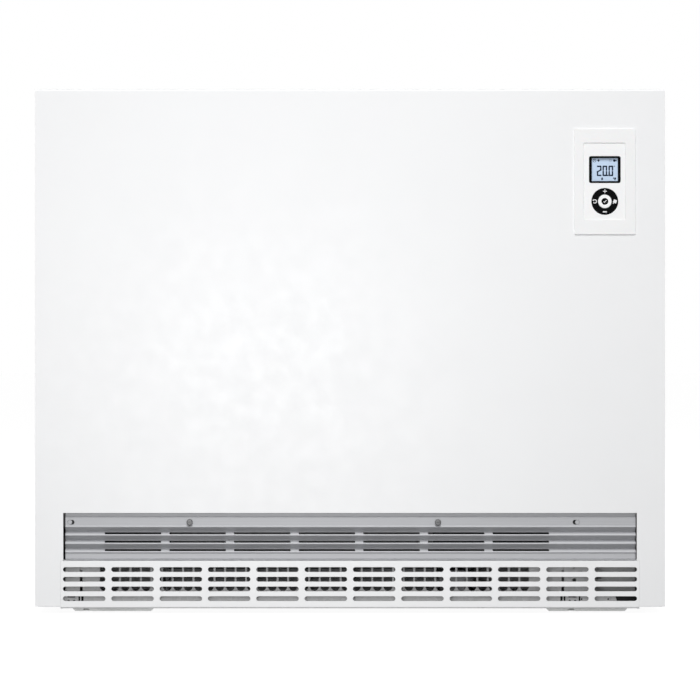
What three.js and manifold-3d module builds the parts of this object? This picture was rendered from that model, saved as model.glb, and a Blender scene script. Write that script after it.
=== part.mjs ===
// A floor-standing storage heater with a fan.
//
// Units are millimetres.  +X runs to the right as seen from the room, +Y towards the wall
// behind, +Z up.  The origin lies on the floor, under the middle of the overall box.
//
// A folded steel casing stands round an inner case.  The inner case holds a core of
// storage bricks inside boards of insulation, with a heating element under each layer of
// bricks.  A cross-flow fan in a drawer below draws room air in through the lower grille
// and drives it up the rear channels of the core, over the top and down the front ones,
// to the aluminium outlet grille.  A flap behind that grille mixes in cooler air.

import * as THREE from 'three';
import { mergeVertices } from 'three/addons/utils/BufferGeometryUtils.js';
import Module from 'manifold-3d';

const wasm = await Module();
wasm.setup();

// ---- Driving dimensions ----------------------------------------------------------------

// Overall box
const width = 780;
const height = 650;
const depth = 250;

// Sheets, bends and clearances
const casingSheet = 1.2;        // outer casing
const innerSheet = 1.5;         // inner case
const traySheet = 1.2;          // base tray, fan drawer and air ducts
const bendRadius = 2.5;         // outer radius of the casing's bends
const seat = 0.3;               // gap between pieces that rest against each other
const runningGap = 0.4;         // gap round a shaft or a key that moves

// Casing
const controlProud = 1.5;       // how far the control surround stands in front of the casing
const frontReturn = 14;         // folded edge of the front panel
const sideReturn = 12;          // folded edge of a side panel
const coverLip = 18;            // side lip of the top cover
const casingBottom = 10.2;      // lower edge of the front and side panels above the floor
const wallSpace = 15.5;         // from the rear panel to the wall
const beadDepth = 3;            // stiffening beads of the rear panel
const beadHeight = 26;
const beadPlaces = [0.3, 0.6];  // shares of the rear panel's height

// Feet
const footHeight = 7;
const footWidth = 101;
const footLength = 190;
const footInset = 43;           // from the side of the casing
const footSetback = 34.5;       // from the front face
const footChamfer = 3;
const footScrewRadius = 3.75;
const footScrewSetback = 11;    // from the foot's front
const footScrewInset = 17;      // from the outer side of the left foot
const footScrewInsetRight = 31; // from the inner side of the right foot

// Openings at the foot of the front panel
const outletSideMargin = 35;    // from the side of the casing to the outlet grille's opening
const intakeSideMargin = 31.5;
const outletTop = 125.1;
const outletBottom = 66;
const openingReturn = 10;

// Outlet grille
const outletRecess = 3;         // from the front face back to the noses of the louvres
const outletWall = 1.6;
const bandSetback = 1.2;        // from the noses back to the flat bands
const bandBevel = 1.5;
const outletRebate = 4;         // height of the step along the top edge
const noseFlat = 0.8;           // height of the blunt nose of a louvre
const outletLeftGap = 2.3;
const outletRightGap = 1.0;
const outletEdgeGap = 0.4;      // at the top and bottom
const louvrePitch = 10.7;
const louvreDepth = 6;          // from a nose back to a valley
const louvreFall = 4;           // height from a valley down to the nose below it
const outletSlotHeight = 1.9;
const outletSlotDrop = 1.05;    // from a valley down to its slots
const outletSlotCount = 7;
const outletSlotGap = 11;
const outletOverlap = 12;       // how far the slotted stretch runs past the core on each side
const fastenerDrop = 11.7;      // from the top of the opening to the fasteners' axes
const noseDrop = 4.5;           // from there to the first nose
const locatingHoleLength = 8.7;
const locatingHoleHeight = 5.9;
const leftHoleInset = 6.8;      // from the grille's left end to the middle of its locating hole
const rightHoleInset = 23;      // from the right inner wall to the right locating hole
const studRadius = 2.2;
const studShift = 1.1;          // a stud sits off its hole's middle
const studSetback = 0.6;        // from the flat band back to a stud's end
const lipSetback = 6;           // from the flat band back to the lip that takes the fasteners
const lipMargin = 4;            // from the locating holes down to the lip's edge

// Quarter-turn fasteners
const fastenerHeadRadius = 3.9;
const fastenerHeadHeight = 2.6;
const fastenerCollarRadius = 2.9;
const fastenerShankRadius = 2;
const fastenerBarLength = 9;
const fastenerBarSize = 2.2;
const driverSlot = 1.2;
const fastenerFirst = 0.19;     // fraction of the slotted stretch, where the left one sits
const fastenerSecond = 0.75;

// Intake grille
const intakeSheet = 1.8;
const intakeSideGap = 0.5;
const intakeColumns = 12;
const intakeSlotGap = 7.3;
const intakeSlotHeight = 5.6;
const intakeRowPitch = 12;
const intakeTopMargin = 10.6;   // from the grille's top to the middle of the first row
const intakeBottomMargin = 9;   // least height under the middle of the last row
const intakeSideLand = 3.3;     // from the side edge to the first slot

// Inner case
const leftAirGap = 34.8;        // from the casing's side to the left inner wall
const compartmentWidth = 86.6;  // the electrical compartment on the right
const frontAirGap = 25;         // from the front face to the inner walls' flanges
const leftFlange = 18.1;
const rightFlange = 36.2;
const rearFlange = 15;
const topAirGap = 14;
const innerTopLip = 10;
const shieldSetback = 19;       // the compartment's lower shield, behind the flange
const shieldWidth = 54.5;
const flangeScrewRadius = 2.4;
const flangeScrewInset = 23.5;  // from the right wall
const flangeScrewRise = 39.5;   // above the floor
const gaugeHoleRadius = 1.3;    // a second hole, above the screw's
const gaugeHoleRise = 15.5;
const shieldSlotWidth = 7;
const shieldSlotHeight = 2.2;
const shieldSlotInset = 5;      // from the right wall

// Lower air space
const trayLip = 16.5;           // height of the base tray's upstand
const traySlitWidth = 2.1;      // slits in the upstand, at the edges of the fan drawer
const traySlitLand = 2;         // from a slit to the edges of the upstand
const trayThirdSlit = 20.8;     // from the drawer's right edge
const trayNotchLeft = 60;       // the notch in the upstand, from the tray's right end
const trayNotchRight = 31;
const trayNotchSlope = 5;
const trayPadShift = 13;        // from the drawer's edges out to the middle of a clip's place
const trayPadWidth = 10;
const trayPadSlot = 1.9;        // height of its slot
const trayPadRise = 10.2;       // from the tray's floor up to the slot
const trayPadHole = 1.6;        // radius of the two holes under it
const trayClampHole = 1.1;
const trayClampRise = 8.2;
const trayClampReach = 7;       // from the notch back to the clamp's holes
const trayClampSpan = 33;
const drawerGap = 3.2;          // between the fan drawer and the walls' flanges
const drawerTab = 11;           // height of the tabs that bridge those gaps at the top
const drawerDepth = 112;
const guardSlotWidth = 10.7;
const guardRib = 2.42;
const guardSlotBottom = 17.6;   // above the tray's floor
const guardSlotTop = 4;         // under the drawer's top edge
const guardLeftLand = 21.7;
const guardRightLand = 40.8;
const shelfRise = 8;            // from the outlet opening's top to the core shelf
const shelfLip = 14;
const bypassHeight = 24;
const bypassRise = 8;           // from the duct's floor to the bypass opening
const mixingDepth = 76;         // from the walls' flanges to the mixing chamber's rear wall

// Fan
const fanLeft = 103.5;          // from the fan drawer's left edge
const rotorLength = 335;
const bladeCount = 18;
const bladeChord = 5;
const bladeThickness = 1.2;
const discThickness = 1.6;
const scrollClearance = 4.2;
const tongueClearance = 2;
const shaftRadius = 3;
const bearingRadius = 8;
const bearingLength = 9;
const bearingCollar = 2.5;
const motorLength = 47;
const motorStack = 24;
const motorHalfWidth = 22.9;
const motorRise = 13.7;         // from the axis to the top of the stack
const motorDrop = 18.3;         // from the axis to its underside
const coilHalfWidth = 13.7;
const coilDrop = 20.3;
const coilHeight = 10.3;
const coilOverhang = 6;
const bellRadius = 13.7;
const bellSetback = 4;
const hubRadius = 6;
const scrollOutlet = 34;        // from the rotor's axis to the scroll's outlet
const throatRise = 6.9;         // from the rotor's axis up to the scroll's outlet

// Mixing flap
const flapLength = 34;
const flapThickness = 1.2;
const flapLip = 3;
const flapShaftEnd = 2;         // how far the shaft runs past the bimetal and the right wall
const flapDrop = 7;             // from the shelf to the hinge
const flapEndGap = 20;
const flapWallGap = 8;          // from the chamber's rear wall to the hinge
const bimetalTurns = 2.5;
const bimetalRadius = 14;
const bimetalWidth = 8;
const bimetalThickness = 0.8;
const lugThickness = 2.7;
const lugHeight = 10;

// Insulation and core
const baseInsulation = 35;
const faceInsulation = 30;      // front and rear boards
const leftInsulation = 62;
const rightInsulation = 67;
const topInsulation = 38;
const turningChamber = 14;
const brickColumns = 3;
const brickLayers = 3;
const channelShare = 0.128;     // width of an air channel, as a share of the core's depth
const channelPlace = 0.362;     // the same, from the core's middle plane to a row of channels
const channelLand = 16;         // from a brick's end to its first channel
const troughShare = 0.497;      // width of the trough under each brick, of the core's depth
const elementTroughDepth = 10;
const troughSlope = 4;
const channelCorner = 4;
const elementRadius = 4.25;
const bendShare = 0.156;        // radius of an element's bend, of the core's depth
const elementEndGap = 12;       // from the core's left end to the bend
const elementHoleGap = 1.4;     // round a leg, where it passes through the wall
const terminalRadius = 2;
const terminalLength = 14;
const collarRadius = 6.5;
const collarLength = 10;

// Electrical pieces
const terminalBlockLength = 90;
const terminalBlockHeight = 34;
const terminalBlockDepth = 24;
const terminalPoles = 5;
const terminalBlockRise = 72;   // above the base tray
const boardThickness = 1.6;
const boardStandoff = 6;
const boardMargin = 18;         // clear of the element terminals above and below
const boardInset = 0.4;         // from the core's front and back to the board's edges
const boardPostRadius = 3;
const relayProud = 16;
const transformerProud = 22;
const heatSinkProud = 10;
const probeRadius = 3;
const probeHead = 12;
const limiterWidth = 40;
const limiterHeight = 50;
const limiterDepth = 30;
const resetRadius = 5;
const resetProud = 4;
const tabSpacing = 20;
const tabWidth = 6;
const tabThickness = 0.8;
const tabProud = 8;
const grommetBore = 5.5;
const grommetNeck = 8;
const grommetFlange = 12;
const grommetFlangeThickness = 2.4;
const grommetChamfer = 2;
const grommetInset = 45;        // from the casing's right side
const grommetHeight = 60;

// Control unit
const controlRight = 36.6;      // from the casing's right side to the surround
const controlTop = 49.6;        // from the casing's top
const controlWidth = 75.7;
const controlHeight = 130.3;
const surroundPlate = 1.2;
const surroundLap = 2;          // how far the plate laps over the hole in the front panel
const surroundWall = 1.6;
const ledgeHeight = 8;
const windowRight = 12.9;       // from the surround's right edge to the fascia
const windowTop = 17.2;
const windowWidth = 51.5;
const windowHeight = 95.3;
const fasciaRecess = 0.8;
const fasciaThickness = 1.5;
const fasciaLap = 2.4;
const bezelWidth = 38.6;
const bezelHeight = 32.8;
const bezelTop = 16.6;          // from the fascia's top to the bezel
const bezelBorderSide = 2.75;
const bezelBorderTop = 2.15;
const bezelCorner = 2.5;
const bezelThickness = 2;
const bezelProud = 0.2;
const displayThickness = 3.5;
const displayBorder = 1.4;
const padDrop = 72.4;           // from the fascia's top to the middle of the keys
const padShift = 0.65;          // from the fascia's middle to the middle of the keys
const ringOuter = 16.2;
const ringInner = 8.8;
const okRadius = 8.4;
const keyProud = 0.6;
const keyTravel = 0.5;
const keyLap = 1.3;             // how far a ring key's foot laps behind the fascia
const keyFoot = 1;
const keyFootSetback = 2;       // from the ring's inner edge to the foot of a key
const domeRadius = 3;
const domeClearance = 0.7;      // between a key's back and its switch, more than its travel

// Wall bracket
const bracketLength = 300;
const bracketDrop = 25;         // from the casing's top to the bracket
const bracketHeight = 40;
const bracketFoot = 14;
const keyholeRadius = 5;
const keyholeSlot = 2.6;        // half the width of a keyhole's slot
const keyholeLength = 12.4;     // from the middle of the round hole to the end of the slot
const keyholeDrop = 22;         // from the bracket's top to the round hole
const keyholeSpacing = 220;

// ---- Places worked out from them -------------------------------------------------------

const sideFace = width / 2;
const sideInside = sideFace - casingSheet;
const frontFace = -depth / 2 + controlProud;
const frontInside = frontFace + casingSheet;
const wallFace = depth / 2;
const seamFront = frontFace + frontReturn + seat;
const rearPanelBack = wallFace - wallSpace;
const rearPanelFront = rearPanelBack - casingSheet;

const trayBottom = footHeight + seat;
const trayTop = trayBottom + traySheet;
const trayFront = seamFront + bendRadius + seat;

const leftWallOut = -sideFace + leftAirGap;
const leftWallIn = leftWallOut + innerSheet;
const rightWallOut = sideFace - compartmentWidth;
const rightWallIn = rightWallOut - innerSheet;
const flangeFront = frontFace + frontAirGap;
const flangeBack = flangeFront + innerSheet;
const caseRear = rearPanelFront - traySheet - 2 * seat;
const wallsBottom = trayTop + seat;
const innerTopFace = height - casingSheet - topAirGap;
const wallsTop = innerTopFace - innerSheet - seat;
const facePlateFront = flangeFront - seat - innerSheet;

const ductUnder = outletBottom - innerSheet;
const shelfBottom = outletTop + shelfRise;
const shelfTop = shelfBottom + innerSheet;
const baseBoardBottom = shelfTop + seat;
const coreBottom = baseBoardBottom + baseInsulation + seat;
const topBoardBottom = wallsTop - topInsulation;
const sideBoardsTop = topBoardBottom - seat;
const coverTop = sideBoardsTop;
const coverBottom = coverTop - innerSheet - turningChamber;
const coreTop = coverBottom - seat;

const frontBoardBack = flangeBack + seat + faceInsulation;
const rearBoardFront = caseRear - innerSheet - seat - faceInsulation;
const coreFront = frontBoardBack + seat;
const coreBack = rearBoardFront - seat;
const coreMiddle = (coreFront + coreBack) / 2;
const coreDepth = coreBack - coreFront;
const coreLeft = leftWallIn + seat + leftInsulation + seat;
const coreRight = rightWallIn - seat - rightInsulation - seat;

const brickLength = (coreRight - coreLeft - (brickColumns - 1) * seat) / brickColumns;
const brickHeight = (coreTop - coreBottom - (brickLayers - 1) * seat) / brickLayers;
const layerBottom = (layer) => coreBottom + layer * (brickHeight + seat);
const elementHeight = (layer) => layerBottom(layer) + elementRadius;
const elementTrough = troughShare * coreDepth;
const elementBend = bendShare * coreDepth;
const channelWidth = channelShare * coreDepth;
const channelOffset = channelPlace * coreDepth;

const drawerLeft = leftWallOut + leftFlange + drawerGap;
const drawerRight = rightWallOut - rightFlange - drawerGap;
const drawerFloor = trayTop + seat;
const drawerTop = ductUnder - seat;
const fanSpaceBottom = drawerFloor + traySheet;
const rotorRadius = (drawerTop - fanSpaceBottom) / 2 - scrollClearance;
const rotorHeight = (drawerTop + fanSpaceBottom) / 2;
const rotorDepth = flangeBack + seat + rotorRadius + 2 * scrollClearance;
const housingLeft = drawerLeft + fanLeft;
const rotorLeft = housingLeft + traySheet + seat;
const rotorRight = rotorLeft + rotorLength;
const housingRight = rotorRight + seat + traySheet;
const motorLeft = housingRight + seat;

const chamberRear = flangeBack + mixingDepth;
const hingeDepth = chamberRear - flapWallGap;
const hingeHeight = shelfBottom - flapDrop;

const outletLeft = -sideFace + outletSideMargin + outletLeftGap;
const outletRight = sideFace - outletSideMargin - outletRightGap;
const outletFront = frontFace + outletRecess;
const bandFront = outletFront + bandSetback;
const bandBack = bandFront + outletWall;
const slottedLeft = coreLeft - outletOverlap;
const slottedRight = coreRight + outletOverlap;
const fastenerHeight = outletTop - fastenerDrop;
const fastenerSeat = outletFront - seat;              // under the head
const fastenerPlaces = [fastenerFirst, fastenerSecond]
  .map((share) => slottedLeft + share * (slottedRight - slottedLeft));

const lipFront = bandBack + lipSetback;
const lipBack = lipFront + innerSheet;
const lipTop = outletTop + casingSheet + 2 * seat;
const lipBottom = fastenerHeight - locatingHoleHeight / 2 - lipMargin;
const leftLocatingHole = outletLeft + leftHoleInset;
const rightLocatingHole = rightWallOut - rightHoleInset;

const intakeLeft = -sideFace + intakeSideMargin + intakeSideGap;
const intakeRight = -intakeLeft;
const intakeTop = outletBottom + outletEdgeGap - 2 * seat;

const surroundRight = sideFace - controlRight;
const surroundLeft = surroundRight - controlWidth;
const surroundTop = height - controlTop;
const surroundBottom = surroundTop - controlHeight;
const surroundFront = -depth / 2;
const fasciaRight = surroundRight - windowRight;
const fasciaLeft = fasciaRight - windowWidth;
const fasciaTop = surroundTop - windowTop;
const fasciaBottom = fasciaTop - windowHeight;
const fasciaFront = surroundFront + fasciaRecess;
const fasciaFlangeFront = surroundFront + surroundPlate + seat;
const fasciaBack = fasciaFlangeFront + fasciaThickness;
const fasciaMiddle = (fasciaLeft + fasciaRight) / 2;
const padX = fasciaMiddle + padShift;
const padZ = fasciaTop - padDrop;
const bezelLeft = padX - bezelWidth / 2;
const bezelRight = padX + bezelWidth / 2;
const bezelUpper = fasciaTop - bezelTop;
const bezelLower = bezelUpper - bezelHeight;
const bezelFront = fasciaFront - bezelProud;
const displayFront = Math.max(fasciaBack, bezelFront + bezelThickness) + seat;
const boardFront = displayFront + displayThickness + seat;
const keyFootFront = fasciaBack + seat;
const keyBack = keyFootFront + keyFoot;
const keyFront = fasciaFront - keyProud;

// ---- Small tools -----------------------------------------------------------------------

const along = {
  x: new THREE.Matrix4().makeBasis(unit('y'), unit('z'), unit('x')),
  y: new THREE.Matrix4().makeBasis(unit('z'), unit('x'), unit('y')),
  z: new THREE.Matrix4(),
};
const facing = {
  room: new THREE.Matrix4().makeBasis(unit('x'), unit('z'), unit('y').negate()),
  up: new THREE.Matrix4(),
};

function unit(axis) {
  return new THREE.Vector3()[`set${axis.toUpperCase()}`](1);
}

// A closed geometry as a solid that can be joined and cut.
function solid(geometry) {
  geometry.deleteAttribute('normal');
  geometry.deleteAttribute('uv');
  const merged = mergeVertices(geometry, 1e-4);
  return new wasm.Manifold(new wasm.Mesh({
    numProp: 3,
    vertProperties: new Float32Array(merged.attributes.position.array),
    triVerts: new Uint32Array(merged.index.array),
  }));
}

function geometryOf(body) {
  const mesh = body.getMesh();
  const geometry = new THREE.BufferGeometry();
  geometry.setAttribute('position', new THREE.BufferAttribute(mesh.vertProperties, 3));
  geometry.setIndex(new THREE.BufferAttribute(mesh.triVerts, 1));
  return geometry;
}

const join = (...bodies) => bodies.reduce((whole, body) => whole.add(body));
const cut = (body, ...tools) => tools.reduce((whole, tool) => whole.subtract(tool), body);

function box(x0, x1, y0, y1, z0, z1) {
  const geometry = new THREE.BoxGeometry(x1 - x0, y1 - y0, z1 - z0);
  geometry.translate((x0 + x1) / 2, (y0 + y1) / 2, (z0 + z1) / 2);
  return solid(geometry);
}

// An outline run along an axis.  Its points are (y, z) along X, (x, z) along Y and
// (x, y) along Z.
function prism(axis, outline, from, to, holes = []) {
  const order = axis === 'y' ? ([u, v]) => new THREE.Vector2(v, u) : ([u, v]) => new THREE.Vector2(u, v);
  const points = outline.map(order);
  if (THREE.ShapeUtils.isClockWise(points)) points.reverse();
  const shape = new THREE.Shape(points);
  shape.holes = holes.map((hole) => new THREE.Path(hole.map(order)));
  const geometry = new THREE.ExtrudeGeometry(shape, { depth: to - from, bevelEnabled: false });
  geometry.translate(0, 0, from);
  geometry.applyMatrix4(along[axis]);
  return solid(geometry);
}

function circle(u, v, radius, sides = 12) {
  return Array.from({ length: sides }, (_, i) => {
    const angle = ((i + 0.5) / sides) * 2 * Math.PI;
    return [u + radius * Math.cos(angle), v + radius * Math.sin(angle)];
  });
}

const rod = (axis, u, v, radius, from, to, sides) => prism(axis, circle(u, v, radius, sides), from, to);

const rectangle = (u0, u1, v0, v1) => [[u0, v0], [u1, v0], [u1, v1], [u0, v1]];

// A rectangle whose corners are arcs of the given number of steps.
function rounded(u0, u1, v0, v1, radius, steps = 4) {
  const corners = [[u1 - radius, v1 - radius], [u0 + radius, v1 - radius],
    [u0 + radius, v0 + radius], [u1 - radius, v0 + radius]];
  return corners.flatMap(([u, v], corner) => arc(u, v, radius, corner * 90, corner * 90 + 90, steps));
}

// A slot with round ends, along its longer side.
function slot(u0, u1, v0, v1, steps = 4) {
  const wide = u1 - u0 > v1 - v0;
  const radius = (wide ? v1 - v0 : u1 - u0) / 2;
  const um = (u0 + u1) / 2;
  const vm = (v0 + v1) / 2;
  return wide
    ? [...arc(u1 - radius, vm, radius, -90, 90, steps), ...arc(u0 + radius, vm, radius, 90, 270, steps)]
    : [...arc(um, v1 - radius, radius, 0, 180, steps), ...arc(um, v0 + radius, radius, 180, 360, steps)];
}

function arc(u, v, radius, from, to, steps) {
  return Array.from({ length: steps + 1 }, (_, i) => {
    const angle = THREE.MathUtils.degToRad(from + ((to - from) * i) / steps);
    return [u + radius * Math.cos(angle), v + radius * Math.sin(angle)];
  });
}

// The outline of a sheet bent along a path: the path, and the same path offset to its
// left by the sheet's thickness.
function sheet(path, thickness) {
  const left = path.map((point, i) => {
    const before = direction(path[Math.max(i - 1, 0)], path[Math.max(i, 1)]);
    const after = direction(path[Math.min(i, path.length - 2)], path[Math.min(i + 1, path.length - 1)]);
    const reach = thickness / (1 + before[0] * after[0] + before[1] * after[1]);
    return [point[0] - (before[1] + after[1]) * reach, point[1] + (before[0] + after[0]) * reach];
  });
  return [...path, ...left.reverse()];
}

function direction([u0, v0], [u1, v1]) {
  const length = Math.hypot(u1 - u0, v1 - v0);
  return [(u1 - u0) / length, (v1 - v0) / length];
}

// The same path with its inner corners bent round.
function bend(path, radius, steps = 3) {
  return path.flatMap((corner, i) => {
    if (i === 0 || i === path.length - 1) return [corner];
    const [a, b] = [direction(corner, path[i - 1]), direction(corner, path[i + 1])];
    const half = Math.acos(THREE.MathUtils.clamp(a[0] * b[0] + a[1] * b[1], -1, 1)) / 2;
    const reach = radius / Math.tan(half);
    const middle = direction([0, 0], [a[0] + b[0], a[1] + b[1]]);
    const out = radius / Math.sin(half);
    const centre = [corner[0] + middle[0] * out, corner[1] + middle[1] * out];
    const start = Math.atan2(corner[1] + a[1] * reach - centre[1], corner[0] + a[0] * reach - centre[0]);
    const end = Math.atan2(corner[1] + b[1] * reach - centre[1], corner[0] + b[0] * reach - centre[0]);
    const turn = Math.atan2(Math.sin(end - start), Math.cos(end - start));
    return Array.from({ length: steps + 1 }, (_, step) => {
      const angle = start + (turn * step) / steps;
      return [centre[0] + radius * Math.cos(angle), centre[1] + radius * Math.sin(angle)];
    });
  });
}

// A shallow box of folded sheet, open at its back, with rounded front edges.  Its outline
// is (x, z) when it faces the room and (x, y) when it faces up, and `face` is where its
// front lies along the way it faces.
function pan(way, [u0, u1, v0, v1], face, deep, wall, radius) {
  const outer = block(way, [u0, u1, v0, v1], face, deep, radius);
  const inner = block(way, [u0 + wall, u1 - wall, v0 + wall, v1 - wall], face - wall, deep, radius - wall);
  return cut(outer, inner);
}

function block(way, [u0, u1, v0, v1], face, deep, radius) {
  const shape = new THREE.Shape(rectangle(u0, u1, v0, v1).map(([u, v]) => new THREE.Vector2(u, v)));
  const geometry = new THREE.ExtrudeGeometry(shape, {
    depth: deep,
    bevelThickness: radius,
    bevelSize: radius,
    bevelOffset: -radius,
    bevelSegments: 3,
  });
  geometry.translate(0, 0, face - deep - radius);
  geometry.applyMatrix4(facing[way]);
  const back = new THREE.BoxGeometry(u1 - u0 + radius, v1 - v0 + radius, 4 * radius);
  back.translate((u0 + u1) / 2, (v0 + v1) / 2, face - deep - 2 * radius);
  back.applyMatrix4(facing[way]);
  return cut(solid(geometry), solid(back));
}

// A round tube or bar along a path that is given by its stations, so that a straight
// stretch is one step long.
class StationPath extends THREE.Curve {
  constructor(stations) {
    super();
    this.stations = stations;
  }

  at(u) {
    return this.stations[Math.round(u * (this.stations.length - 1))];
  }

  getPointAt(u) {
    return this.at(u).point.clone();
  }

  getTangentAt(u, target = new THREE.Vector3()) {
    return target.copy(this.at(u).tangent);
  }
}

function bar(stations, radius, sides) {
  const section = new THREE.Shape(circle(0, 0, radius, sides).map(([u, v]) => new THREE.Vector2(u, v)));
  return solid(new THREE.ExtrudeGeometry(section, {
    steps: stations.length - 1,
    extrudePath: new StationPath(stations),
  }));
}

const finishes = {
  casing: [0xf4f4f5, 0.35, 0.2],
  plastic: [0xf6f6f6, 0.4, 0],
  aluminium: [0xb4b4b8, 0.35, 0.9],
  zinc: [0x9a9c9e, 0.45, 0.8],
  darkSteel: [0x4a4a4c, 0.5, 0.7],
  black: [0x0c0c0d, 0.4, 0],
  display: [0xbed0e8, 0.2, 0],
  board: [0x1f5a34, 0.5, 0],
  insulation: [0xd8d2c2, 0.95, 0],
  brick: [0x5a4a44, 0.9, 0.1],
  element: [0x6a6258, 0.5, 0.7],
  rubber: [0x202022, 0.85, 0],
  bimetal: [0xa08a5a, 0.4, 0.8],
};

function piece(name, body, finish) {
  const [color, roughness, metalness] = finishes[finish];
  const material = new THREE.MeshStandardMaterial({ color, roughness, metalness });
  const mesh = new THREE.Mesh(geometryOf(body), material);
  mesh.name = name;
  return mesh;
}

function place(mesh, x, y, z) {
  mesh.position.set(x, y, z);
  return mesh;
}

// ---- Casing ----------------------------------------------------------------------------

const outletOpening = [-sideFace + outletSideMargin, sideFace - outletSideMargin];
const intakeOpening = [-sideFace + intakeSideMargin, sideFace - intakeSideMargin];
const controlHole = [surroundLeft + surroundLap, surroundRight - surroundLap,
  surroundBottom + surroundLap, surroundTop - surroundLap];

// A folded front with a stepped opening for the two grilles and a hole for the control unit.
function frontPanel() {
  const edges = [-sideFace, sideFace, casingBottom, height];
  const shell = pan('room', edges, -frontFace, frontReturn, casingSheet, bendRadius);
  const lining = [
    [...outletOpening, outletBottom, outletTop],
    [...intakeOpening, casingBottom, outletBottom],
  ];
  const frames = lining.map(([x0, x1, z0, z1]) => box(
    x0 - casingSheet, x1 + casingSheet,
    frontInside - casingSheet / 2, frontFace + openingReturn,
    z0, z1 + casingSheet,
  ));
  const openings = lining.map(([x0, x1, z0, z1], i) => box(
    x0, x1, frontFace - 1, frontFace + frontReturn + 1, z0 - (i ? casingBottom : 0), z1,
  ));
  const [x0, x1, z0, z1] = controlHole;
  return cut(join(shell, ...frames), ...openings, box(x0, x1, frontFace - 1, frontInside + 1, z0, z1));
}

// A folded side, with a return at the front and at the wall.
function sidePanel(side) {
  const path = bend([
    [sideFace - sideReturn, seamFront],
    [sideFace, seamFront],
    [sideFace, wallFace],
    [sideFace - sideReturn, wallFace],
  ], bendRadius);
  const outline = sheet(path, casingSheet).map(([x, y]) => [side * x, y]);
  return prism('z', outline, casingBottom, height - coverLip - seat);
}

function topCover() {
  return pan('up', [-sideFace, sideFace, seamFront, wallFace], height, coverLip, casingSheet, bendRadius);
}

// The rear panel, with two beads pressed towards the wall.
function rearPanel() {
  const top = height - coverLip - seat;
  const beads = beadPlaces.flatMap((share) => {
    const low = trayBottom + share * (top - trayBottom);
    const high = low + beadHeight;
    return [[0, low], [beadDepth, low + beadDepth], [beadDepth, high], [0, high + beadDepth]];
  });
  const path = [[0, trayBottom], ...beads, [0, top]].map(([y, z]) => [rearPanelBack + y, z]);
  const panel = prism('x', sheet(path, casingSheet), -sideInside + seat, sideInside - seat);
  const entry = rod('y', sideFace - grommetInset, grommetHeight, grommetNeck + seat,
    rearPanelFront - 1, rearPanelBack + 1, 16);
  return cut(panel, entry);
}

// The floor of the heater, with an upstand all round.  The front one has slits by each edge
// of the fan drawer, places for two clips, holes for a clamp, and a notch at the right where
// the cable can pass.
function baseTray() {
  const x = sideInside - seat;
  const upstand = trayTop + trayLip;
  const rear = rearPanelFront - seat;
  const tray = cut(
    box(-x, x, trayFront, rear, trayBottom, upstand),
    box(-x + traySheet, x - traySheet, trayFront + traySheet, rear - traySheet, trayTop, upstand + 1),
  );
  const through = [trayFront - 1, trayFront + traySheet + 1];
  const low = trayTop + traySlitLand;
  const slit = (from, to) => box(Math.min(from, to), Math.max(from, to), ...through,
    low, upstand - traySlitLand);
  const slits = [[drawerLeft, -1], [drawerRight, 1]].flatMap(([edge, out]) => [
    slit(edge + out * traySlitWidth, edge + out * 2 * traySlitWidth),
    slit(edge - out * traySlitWidth, edge + out * traySlitWidth / 3),
  ]);
  const third = slit(drawerRight + trayThirdSlit, drawerRight + trayThirdSlit + traySlitWidth);
  const clips = [drawerLeft - trayPadShift, drawerRight + trayPadShift].flatMap((middle) => [
    box(middle - trayPadWidth / 2, middle + trayPadWidth / 2, ...through,
      trayTop + trayPadRise, trayTop + trayPadRise + trayPadSlot),
    ...[-1, 1].map((side) => rod('y', middle + side * (trayPadWidth / 2 - trayPadHole),
      trayTop + trayPadRise - trayPadSlot - 1.5 * trayPadHole, trayPadHole, ...through, 12)),
  ]);
  const clamp = [trayNotchLeft + trayClampReach, trayNotchLeft + trayClampReach + trayClampSpan]
    .map((inset) => rod('y', x - inset, trayTop + trayClampRise, trayClampHole, ...through, 10));
  const notch = [
    [x - trayNotchLeft, upstand + 1], [x - trayNotchLeft + trayNotchSlope, low],
    [x - trayNotchRight, low], [x - trayNotchRight, upstand + 1],
  ];
  return cut(tray, ...slits, third, ...clips, ...clamp, prism('y', notch, ...through));
}

// A pressed foot, open at its top, with cut lower corners and a hole for a floor screw.
function foot(screwX) {
  const half = footWidth / 2;
  const outline = (inset) => {
    const side = half - inset;
    const low = inset;
    return [[-side, footHeight + inset], [-side, low + footChamfer], [-side + footChamfer, low],
      [side - footChamfer, low], [side, low + footChamfer], [side, footHeight + inset]];
  };
  const shell = cut(
    prism('y', outline(0), 0, footLength),
    prism('y', outline(innerSheet), innerSheet, footLength - innerSheet),
  );
  const screw = rod('z', screwX, footScrewSetback, footScrewRadius, -1, footHeight, 12);
  const notch = box(screwX - footScrewRadius, screwX + footScrewRadius, -1, innerSheet + 1, -1, footChamfer);
  return cut(shell, screw, notch);
}

// A folded bracket with two keyholes, screwed to the wall behind the rear panel.
function wallBracket() {
  const top = height - coverLip - bracketDrop;
  const near = rearPanelBack + seat;
  const path = [
    [wallFace - innerSheet, top],
    [wallFace - innerSheet, top - bracketHeight],
    [near, top - bracketHeight],
    [near, top - bracketHeight - bracketFoot],
  ];
  const strip = prism('x', sheet(path, innerSheet), -bracketLength / 2, bracketLength / 2);
  const holes = [-1, 1].flatMap((side) => {
    const x = (side * keyholeSpacing) / 2;
    const z = top - keyholeDrop;
    const through = [wallFace - innerSheet - 1, wallFace + 1];
    return [
      rod('y', x, z, keyholeRadius, ...through, 12),
      prism('y', slot(x - keyholeSlot, x + keyholeSlot, z, z + keyholeLength), ...through),
    ];
  });
  return cut(strip, ...holes);
}

// ---- Outlet grille and its fasteners ---------------------------------------------------

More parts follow.
